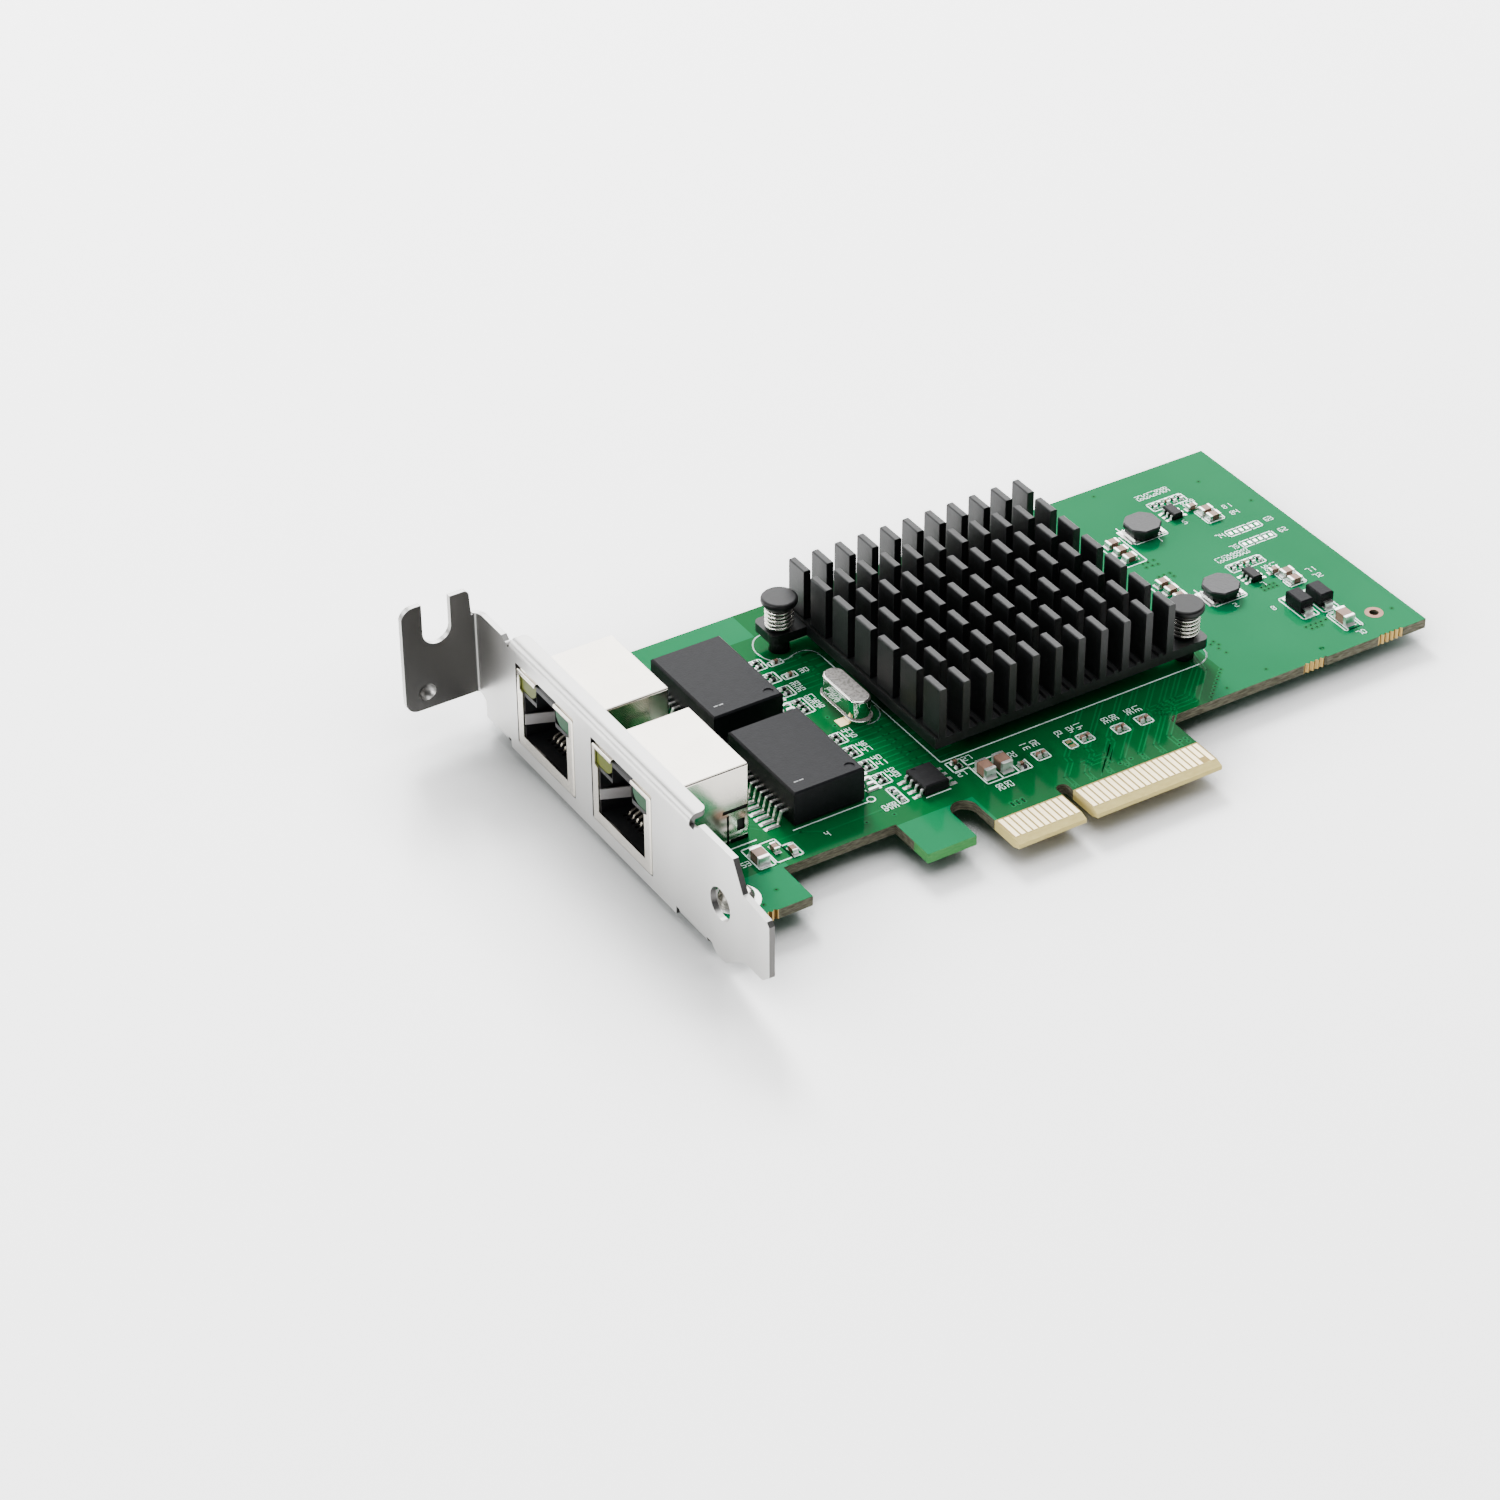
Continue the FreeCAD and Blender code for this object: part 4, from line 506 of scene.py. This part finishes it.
# silk lines
W = 0.21
silk = []
for x0, x1, ys in ((-9.65, -7.45, ((47.9, 50.4), (44.1, 46.6), (40.2, 42.7), (26.55, 29.1), (22.8, 25.45), (19.1, 21.5), (15.3, 17.9))),
                   (-9.75, -7.4, ((35.25, 38.95),))):
    for y0, y1 in ys:
        silk += path(mbox(x0, y0, x1, y1), W, True)
silk += path(mbox(-9.4, 10.25, -8.1, 14.25), W, True)
silk += path(mbox(-7.05, 47.8, -4.83, 48.9), W, True)
silk += path(mbox(-7.0, 43.95, -4.8, 45.2), W, True)
silk += path(mbox(0.82, 12.4, 3.32, 14.8), W, True)
for cx, cy in ((13.43, 9.44), (21.02, 9.49), (26.49, 8.64), (30.52, 8.65)):
    silk += path(mbox(cx - 1.08, cy - 1.05, cx + 1.08, cy + 1.05), W, True)
silk += path(mbox(17.75, 8.35, 19.15, 10.45), W, True)
silk += path([m(3.29, 12.88), m(3.29, 7.7), m(8.65, 7.7), m(10.85, 7.7), m(10.85, 9.8)], W)
silk += path([m(3.29, 12.88), m(8.65, 12.88), m(8.65, 7.7)], W) + path([m(5.95, 7.7), m(5.95, 12.88)], W)
silk += path(mbox(68.9, 10.9, 71.6, 15.9), W, True)
silk += path(mbox(-33.65, 8.0, -31.1, 13.0), W, True)
silk += path(mbox(-30.8, 8.1, -28.4, 12.9), W, True)
silk += path(mbox(-28.4, 8.0, -26.7, 11.0), W, True)
silk += path([m(-30.6, 14.0), m(-44.5, 14.0)], W)
for cy in (48.75, 27.8):
    silk += path([(-36.6, cy - 9.1), (-24.4, cy - 9.1)], W) + path([(-36.6, cy + 9.1), (-24.4, cy + 9.1)], W)
for y0, y1 in ((45.66, 50.6), (26.0, 31.0)):
    silk += path([m(56.1, y1 + 0.2), m(56.1, y0), m(62.0, y0), m(62.0, y1 + 0.2)], W)
silk += path([m(55.0, 41.4), m(51.0, 41.4), m(51.0, 48.6)], W) + path([m(55.0, 41.4), m(55.0, 48.6)], W)
silk += path([m(54.6, 29.2), m(51.0, 29.2), m(51.0, 36.2)], W) + path([m(54.6, 29.2), m(54.6, 36.2)], W)
for x in (69.3, 71.35, 73.4):
    for y in (40.65, 37.2):
        silk += path(mbox(x - 0.02, y - 0.8, x + 2.0, y + 0.8), W, True)
for x0, y0, x1, y1 in ((52.3, 57.2, 58.6, 59.4), (52.2, 37.4, 58.4, 39.5)):
    silk += path(rect(x0, y0, x1, y1), W, True)
silk += path([(-10.9, 21.05), (34.0, 21.1)] + smooth([(34.0, 21.1), (35.3, 21.6), (36.2, 22.5), (36.6, 23.8), (36.6, 25.2), (36.0, 26.6), (34.6, 27.5), (32.2, 27.9)]), W)
silk += path([(-10.9, 21.05), (-10.9, 51.4)], W)
silk += path(smooth([(-10.9, 51.4), (-11.0, 52.8), (-11.5, 53.9), (-12.6, 54.5), (-13.9, 54.4), (-15.4, 53.9), (-17.0, 54.2), (-18.1, 55.5), (-18.45, 57.6), (-17.9, 59.4), (-16.6, 60.8), (-14.8, 61.2)]), W)
silk += path(smooth([(-11.2, 37.4), (-11.3, 36.2), (-11.9, 35.0), (-13.0, 34.2), (-14.3, 34.1), (-15.2, 34.6)]), W)
silk += path([m(-5.6, 9.6), m(-1.7, 9.6)], W) + path([m(-5.6, 15.1), m(-1.7, 15.1)], W)
for x, y in ((58.8, 53.05), (58.8, 51.1), (58.75, 33.0), (58.6, 30.85)):
    silk += path(rect(x - 1.55, y - 0.95, x + 1.55, y + 0.95), W, True)
for x, y in ((55.0, 25.2), (58.6, 25.1)):
    silk += path(rect(x - 1.45, y - 3.1, x + 1.45, y + 3.1), W, True)
silk += path(rect(56.9, 16.5, 59.7, 21.2), W, True)
piece("silk_lines", silk, TOP + 0.004, TOP + 0.022, "silk")

# solder lands under every chip end and lead, with a small fillet of solder against the ends
lands, fillets = [], []


def chip_lands(x, y, turn, L, Wd, cap, out):
    along = (math.cos(math.radians(turn)), math.sin(math.radians(turn)))
    side = (-along[1], along[0])

    def P(u, v):
        return (x + along[0] * u + side[0] * v, y + along[1] * u + side[1] * v)
    for s in (-1, 1):
        a, b = s * (L / 2 - cap - 0.1), s * (L / 2 + out)
        lands.append([P(a, -Wd / 2 - 0.08), P(b, -Wd / 2 - 0.08), P(b, Wd / 2 + 0.08), P(a, Wd / 2 + 0.08)])
        fillets.append((P(s * L / 2, -Wd / 2), P(s * L / 2, Wd / 2), P(b - s * 0.04, Wd / 2), P(b - s * 0.04, -Wd / 2), min(0.5 * out + 0.2, 0.6)))


CHIPS = [
    (2.9, 1.7, 0.55, 0.35, [(-7.05, 15.7, 90), (-4.2, 15.75, 90), (58.3, 18.85, 90), (-44.05, 15.6, 90)]),
    (2.0, 1.25, 0.4, 0.3, [(41.4, 52.95, 0), (41.4, 50.75, 0), (41.4, 48.55, 0), (41.5, 40.45, 0), (41.5, 38.3, 0),
                           (41.5, 36.15, 0), (58.8, 53.05, 0), (58.8, 51.1, 0), (58.75, 33.0, 0), (58.6, 30.85, 0)]),
    (1.6, 0.8, 0.3, 0.25, [(-41.1, 16.4, 90), (-39.2, 14.8, 90), (57.5, 54.95, 0), (57.45, 34.45, 0)]
     ),
    (1.0, 0.5, 0.2, 0.17, [(x + s, y, 90) for x, y in ((1.93, 15.05), (9.52, 15.1), (14.99, 14.25), (19.02, 14.25))
                           for s in (-0.48, 0.48)]
     + [(-17.44, 53.95, 0), (-17.39, 50.15, 0), (-9.43, 19.85, 0), (-1.75, 14.55, 0)]
     + [(-20.05, y, 0) for y in (55.35, 54.15, 51.55, 50.35, 47.65, 46.45)]
     + [(-20.1, y, 0) for y in (43.95, 42.75, 41.5, 34.0, 32.8, 30.3, 29.1, 26.5, 25.3, 22.8, 21.6)]
     + [(-20.25, 18.8, 90), (-20.25, 16.9, 90), (-9.43, 18.75, 0), (-1.75, 13.75, 0),
        (53.0, 58.3, 90), (54.2, 58.3, 90), (55.4, 58.3, 90), (56.6, 58.3, 90), (57.8, 58.3, 90),
        (52.9, 38.45, 90), (54.1, 38.45, 90), (55.3, 38.45, 90), (56.5, 38.45, 90), (57.7, 38.45, 90)]),
]
for L, Wd, cap, out, places in CHIPS:
    for x, y, t in places:
        chip_lands(x, y, t, L, Wd, cap, out)
for cy in (48.75, 27.8):
    for i in range(12):
        y = cy + (i - 5.5) * 1.27
        for s in (-1, 1):
            a, b = sorted((-30.5 + s * 7.1, -30.5 + s * 9.5))
            lands.append(rect(a, y - 0.36, b, y + 0.36))
for i in range(4):
    y = 17.95 + (i - 1.5) * 1.27
    for s in (-1, 1):
        a, b = sorted((-15.2 + s * 2.35, -15.2 + s * 3.6))
        lands.append(rect(a, y - 0.32, b, y + 0.32))
for x, y in ((54.1, 55.05), (53.85, 35.05)):
    for i in (-1, 0, 1):
        for s in (-1, 1):
            a, b = sorted((x + s * 1.0, x + s * 1.85))
            lands.append(rect(a, y + i * 0.95 - 0.27, b, y + i * 0.95 + 0.27))
for x, y in ((55.0, 25.2), (58.6, 25.1)):
    for s in (-1, 1):
        a, b = sorted((y + s * 1.5, y + s * 2.95))
        lands.append(rect(x - 0.9, a, x + 0.9, b))
for x in (58.9, 60.85, 62.8):
    for y in (46.25, 42.8):
        for s in (-1, 1):
            lands.append(rect(x + s * 0.48 - 0.27, y - 0.38, x + s * 0.48 + 0.27, y + 0.38))
for y in (53.6, 34.0):
    for s in (-1, 1):
        a, b = sorted((47.3 + s * 1.6, 47.3 + s * 3.35))
        lands.append(rect(a, y - 1.95, b, y + 1.95))
piece("solder_lands", lands, TOP + 0.004, TOP + 0.03, "solder")
# empty lands: two in the empty outline, one exposed square by the crystal
piece("bare_lands", [mbox(18.05, 8.6, 18.85, 9.2), mbox(18.05, 9.6, 18.85, 10.2), mbox(-6.57, 30.0, -5.1, 31.8)],
      TOP + 0.004, TOP + 0.03, "pad_gold")


def wedges(name, items, mat):
    bm = bmesh.new()
    for a, b, c, d, h in items:
        v = [bm.verts.new((p[0] * MM, p[1] * MM, (TOP + 0.02) * MM)) for p in (a, b, c, d)]
        t = [bm.verts.new((p[0] * MM, p[1] * MM, (TOP + 0.02 + h) * MM)) for p in (a, b)]
        mid0 = bm.verts.new(((a[0] * 0.62 + d[0] * 0.38) * MM, (a[1] * 0.62 + d[1] * 0.38) * MM, (TOP + 0.02 + h * 0.38) * MM))
        mid1 = bm.verts.new(((b[0] * 0.62 + c[0] * 0.38) * MM, (b[1] * 0.62 + c[1] * 0.38) * MM, (TOP + 0.02 + h * 0.38) * MM))
        for f in ((v[0], v[1], v[2], v[3]), (t[0], t[1], v[1], v[0]), (t[0], mid0, mid1, t[1]), (mid0, v[3], v[2], mid1),
                  (v[0], v[3], mid0, t[0]), (v[1], t[1], mid1, v[2])):
            bm.faces.new(f)
    bmesh.ops.recalc_face_normals(bm, faces=bm.faces)
    me = bpy.data.meshes.new(name)
    bm.to_mesh(me)
    bm.free()
    me.materials.append(M[mat])
    o = bpy.data.objects.new(name, me)
    bpy.context.scene.collection.objects.link(o)
    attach(o, "root")
    return o


wedges("solder_fillets", fillets, "solder")

# tracks under the mask, drawn as thin raised lines
tracks = []
for i, y in enumerate((22.7, 23.7, 24.9, 26.0, 27.1, 28.4, 29.6, 30.7, 31.9, 33.2, 34.1, 46.0, 47.1, 48.3, 49.4, 50.7, 51.8, 53.0, 54.0)):
    k = 0.5 * ((i % 3) - 1)
    tracks += path([(-18.9, y), (-14.2, y), (-13.2, y + k), (-7.5, y + k)], 0.26)
for i in range(7):
    y0, y1 = 22.5 + i * 1.3, 23.4 + i * 1.0
    tracks += path([(-22.9, y0 + 18.5), (-21.0, y0 + 18.5)], 0.25)
pairs = [(1.6, 9.0, 2.6), (4.6, 8.4, 3.4), (7.6, 8.0, 4.4), (10.6, 8.3, 5.6), (13.6, 8.2, 6.4), (16.6, 8.6, 5.2), (19.4, 9.4, 4.4)]
for x, y, r_ in pairs:
    for d in (0.0, 0.62):
        tracks += path([(x + d, 6.3), (x + d, y - d * 0.4), (x + d + r_, y + r_ - d * 0.4), (x + d + r_, y + r_ + 1.2 - d * 0.4),
                        (x + d + r_ + 21.4 - y - r_ - 1.2, 21.4 - d * 0.4)], 0.24)
for k in range(3):
    tracks += path([(5.6, 9.2 + k * 0.75), (9.6, 9.2 + k * 0.75), (11.2 + k * 0.3, 10.9 + k * 1.05)], 0.22)
    tracks += path([(6.2 + k * 0.5, 6.6 + k * 0.55), (8.0 + k * 0.5, 8.4 + k * 0.55), (9.6, 8.4 + k * 0.55)], 0.20)
for k in range(4):
    e = k * 0.85
    tracks += path([(21.6 - 0.2 * k, 13.9 + e * 0.9), (28.4 - e * 0.35, 13.9 + e * 0.9), (33.9 - e * 0.5, 19.4 + e * 0.6),
                    (35.0 - e * 0.5, 24.0)], 0.24)
tracks += path([(-41.8, 33.3), (-36.5, 33.3)], 0.3) + path([(-44, 17.9), (-36, 17.9), (-33, 16.2), (-22.5, 16.2)], 0.3)
for i in range(12):
    y = (i - 5.5) * 1.27
    for cy in (48.75, 27.8):
        tracks += path([(-40.0, cy + y), (-41.3, cy + y * 0.8)], 0.3)
piece("board_tracks", tracks, TOP + 0.001, TOP + 0.012, "mask_trace")

VIAS = [(53.77, 39.90), (55.84, 40.98), (55.76, 39.75), (54.84, 39.86), (54.75, 40.87), (53.88, 40.94), (55.83, 36.84),
        (55.86, 35.88), (54.77, 36.88), (53.83, 36.85), (62.7, 9.19)]
vias = [m(x, y) for x, y in VIAS]
vias += [(53.4 + 0.75 * (i % 4), 31.3 + 0.8 * (i // 4)) for i in range(8)]
vias += [(52.6 + 0.9 * i, 20.4) for i in range(5)] + [(53.1 + 0.9 * i, 19.6) for i in range(3)]
vias += [(39.0, 24.6), (39.2, 23.6), (38.2, 24.2), (38.6, 22.8), (38.9, 21.4)]
vias += [(30.4 + 0.66 * i, 13.6 + 0.60 * i) for i in range(9)]
vias += [(-8.0 + 0.9 * i, 7.35) for i in range(3)] + [(-8.0 + 0.9 * i, 7.95) for i in range(3)]
vias += [(1.7 + 3.0 * i, 6.75) for i in range(7)] + [(20.3, 7.4), (21.3, 7.5), (21.3, 6.7), (10.1, 7.5), (12.0, 7.6), (14.0, 7.6)]
vias += [(33.6, 14.2), (51.2, 15.0), (66.2, 17.6), (41.2, 15.0), (63.0, 60.5), (47.0, 65.6), (66.6, 52.0)]
vias += [(-53.6, 10.6), (-52.6, 11.6), (-45.6, 8.8), (-48.8, 6.9), (-37.2, 60.4), (-33.0, 62.0), (-26.8, 61.5), (-22.2, 59.6),
         (-22.5, 39.0), (-18.4, 38.6), (-18.6, 36.3), (-23.0, 14.4), (-27.2, 14.9), (-24.4, 37.9), (-37.5, 38.5)]
piece("via_lands", [q for x, y in vias for q in annulus(x, y, 0.17, 0.42, 12)], TOP + 0.001, TOP + 0.016, "mask_trace")
# painted shade: dark discs stand in for the shaded insides of the via holes
piece("via_holes", [disc(x, y, 0.17, 10) for x, y in vias], TOP + 0.001, TOP + 0.006, "dark")

# plain numerals as position marks
SEG = {"0": "abcdef", "1": "bc", "2": "abged", "3": "abgcd", "4": "fgbc", "5": "afgcd", "6": "afgedc", "7": "abc", "8": "abcdefg", "9": "abcdfg"}


def numeral(text, x, y, h, turn=0.0, w=0.13):
    """Seven-stroke numerals, lower left corner at x, y, height h."""
    out = []
    ca, sa = math.cos(math.radians(turn)), math.sin(math.radians(turn))
    wd = h * 0.52
    ends = {"a": ((0, 1), (1, 1)), "b": ((1, 1), (1, .5)), "c": ((1, .5), (1, 0)), "d": ((0, 0), (1, 0)),
            "e": ((0, .5), (0, 0)), "f": ((0, 1), (0, .5)), "g": ((0, .5), (1, .5))}
    for i, ch in enumerate(text):
        ox = i * h * 0.82
        for q in SEG[ch]:
            pts = [(ox + u * wd, v * h) for u, v in ends[q]]
            pts = [(x + px_ * ca - py_ * sa, y + px_ * sa + py_ * ca) for px_, py_ in pts]
            out.append(seg(pts[0], pts[1], w))
    return out


marks = []
for t, x, y in (("39", -18.5, 47.5), ("35", -18.5, 46.1), ("87", -18.5, 43.7), ("36", -18.5, 42.4), ("46", -18.5, 41.1),
                ("44", -18.5, 33.9), ("45", -18.5, 32.6), ("46", -18.5, 30.1), ("47", -18.5, 28.7), ("40", -18.5, 26.3),
                ("41", -18.5, 24.9), ("42", -18.5, 22.7), ("43", -18.5, 21.5), ("30", -15.6, 49.8), ("27", -7.9, 19.5),
                ("27", -10.6, 16.8), ("1", 48.0, 50.0), ("2", 47.2, 30.0), ("5", 54.2, 52.0), ("7", 54.0, 32.3),
                ("81", 61.8, 52.2), ("84", 61.8, 50.2), ("74", 56.0, 46.0), ("63", 65.0, 46.0), ("75", 56.0, 42.5),
                ("62", 65.0, 42.5), ("71", 61.8, 31.6), ("72", 61.8, 29.8), ("8", 51.4, 26.4), ("70", 58.0, 14.6),
                ("53", -46.8, 15.2), ("4", -33.4, 15.1)):
    marks += numeral(t, x, y, 0.95)
for t, x, y in (("31", 1.6, 17.2), ("30", 3.2, 17.2), ("73", 7.4, 17.2), ("42", 9.4, 17.2), ("41", 10.8, 17.2),
                ("39", 14.8, 16.3), ("38", 16.2, 16.3), ("36", 18.8, 16.3), ("37", 20.2, 16.3), ("28", -6.6, 11.2),
                ("29", -5.2, 11.2), ("22", -1.0, 16.6), ("38", -21.4, 15.6), ("92", -22.6, 15.6),
                ("64", 53.0, 60.8), ("65", 54.2, 60.8), ("61", 55.4, 60.8), ("59", 56.6, 60.8), ("58", 57.8, 60.8),
                ("67", 53.0, 40.6), ("60", 54.2, 40.6), ("66", 55.4, 40.6), ("68", 56.6, 40.6), ("69", 57.8, 40.6),
                ("85", 57.9, 55.9), ("76", 59.2, 55.9), ("86", 57.7, 35.3), ("77", 59.1, 35.3)):
    marks += numeral(t, x, y, 0.95, 90)
marks += numeral("1", -22.0, 61.0, 0.9) + annulus(-23.8, 19.0, 0.5, 0.68, 16)
piece("position_numerals", marks, TOP + 0.004, TOP + 0.021, "silk")
ink = []
for cy in (48.75, 27.8):
    ink += numeral("1", -33.4, cy - 7.0, 1.3, 90, 0.2)
piece("module_numerals", ink, 6.485, 6.497, "ink")

# rings round the screw holes and the tooling hole
ring = annulus(-51.2, 9.9, 1.65, 3.4) + annulus(-51.2, 63.6, 1.65, 3.4)
piece("screw_rings", ring, TOP + 0.002, TOP + 0.028, "solder")
piece("tooling_ring", annulus(63.3, 18.1, 0.72, 1.4), TOP + 0.002, TOP + 0.025, "ring")

# ---------------------------------------------------------------- stage, lights, camera
me = bpy.data.meshes.new("floor")
bm = bmesh.new()
S = 6.0
FZ = -3.2 * MM
for x, y in ((-S, -S), (S, -S), (S, S), (-S, S)):
    bm.verts.new((x, y, FZ))
bm.faces.new(bm.verts)
bm.to_mesh(me)
bm.free()
floor = bpy.data.objects.new("floor", me)
bpy.context.scene.collection.objects.link(floor)
fm = material("floor_white", (0.86, 0.86, 0.86), 0.7, emission=(1, 1, 1), emission_strength=1.25)
me.materials.append(fm)
# painted contact shadow: ambient occlusion darkens the floor's glow and its colour under the object
ao = fm.node_tree.nodes.new("ShaderNodeAmbientOcclusion")
ao.samples = 2
ao.inputs["Distance"].default_value = 0.03
contact_shadow = fm.node_tree.nodes.new("ShaderNodeMath")
contact_shadow.operation = "POWER"
contact_shadow.inputs[1].default_value = 8.0
gain = fm.node_tree.nodes.new("ShaderNodeMath")
gain.operation = "MULTIPLY"
gain.inputs[1].default_value = 1.15
fm.node_tree.links.new(ao.outputs["AO"], contact_shadow.inputs[0])
fm.node_tree.links.new(contact_shadow.outputs[0], gain.inputs[0])
fm.node_tree.links.new(gain.outputs[0], fm.node_tree.nodes["Principled BSDF"].inputs["Emission Strength"])
shade = fm.node_tree.nodes.new("ShaderNodeValToRGB")
shade.color_ramp.elements[0].color = (0.26, 0.27, 0.27, 1)
shade.color_ramp.elements[1].color = (0.86, 0.86, 0.86, 1)
fm.node_tree.links.new(contact_shadow.outputs[0], shade.inputs["Fac"])
fm.node_tree.links.new(shade.outputs["Color"], fm.node_tree.nodes["Principled BSDF"].inputs["Base Color"])


def area(name, loc, target, size, power, size_y=None):
    ld = bpy.data.lights.new(name, "AREA")
    ld.energy = power
    ld.size = size
    if size_y:
        ld.shape = "RECTANGLE"
        ld.size_y = size_y
    o = bpy.data.objects.new(name, ld)
    o.location = loc
    o.rotation_euler = (Vector(target) - Vector(loc)).to_track_quat("-Z", "Y").to_euler()
    bpy.context.scene.collection.objects.link(o)
    return o


area("back_wall", (0.55, 1.05, 0.62), (0.0, 0.03, 0.0), 1.5, 32.0, 0.95)
area("back_left", (-0.80, 1.00, 0.62), (0.0, 0.03, 0.0), 0.8, 10.0, 0.7)
area("left_soft", (-1.00, 0.00, 0.26), (-0.03, 0.03, 0), 0.8, 16.0, 0.4)
area("top_soft", (0.05, 0.10, 1.05), (0, 0.03, 0), 0.9, 11.0, 0.9)
key = area("key", (0.30, 0.95, 0.75), (0, 0.03, 0), 0.32, 40.0, 0.32)
key.visible_glossy = False
w = bpy.data.worlds.new("studio")
w.use_nodes = True
bg = w.node_tree.nodes["Background"]
bg.inputs["Color"].default_value = (1, 1, 1, 1)
bg.inputs["Strength"].default_value = 0.15
bpy.context.scene.world = w

cam_data = bpy.data.cameras.new("camera")
cam_data.sensor_width = 36.0
cam_data.lens = 4296.0 / 1500.0 * 36.0
cam_data.clip_start = 0.01
cam_data.clip_end = 20.0
cam = bpy.data.objects.new("camera", cam_data)
right = Vector((0.84984, -0.52700, -0.00637))
down = Vector((-0.31381, -0.49626, -0.80948))
fwd = Vector((0.42343, 0.68993, -0.58712))
up, back = -down, -fwd
mw = Matrix(((right.x, up.x, back.x, -0.28630), (right.y, up.y, back.y, -0.37693), (right.z, up.z, back.z, 0.35367), (0, 0, 0, 1)))
cam.matrix_world = mw
bpy.context.scene.collection.objects.link(cam)
bpy.context.scene.camera = cam
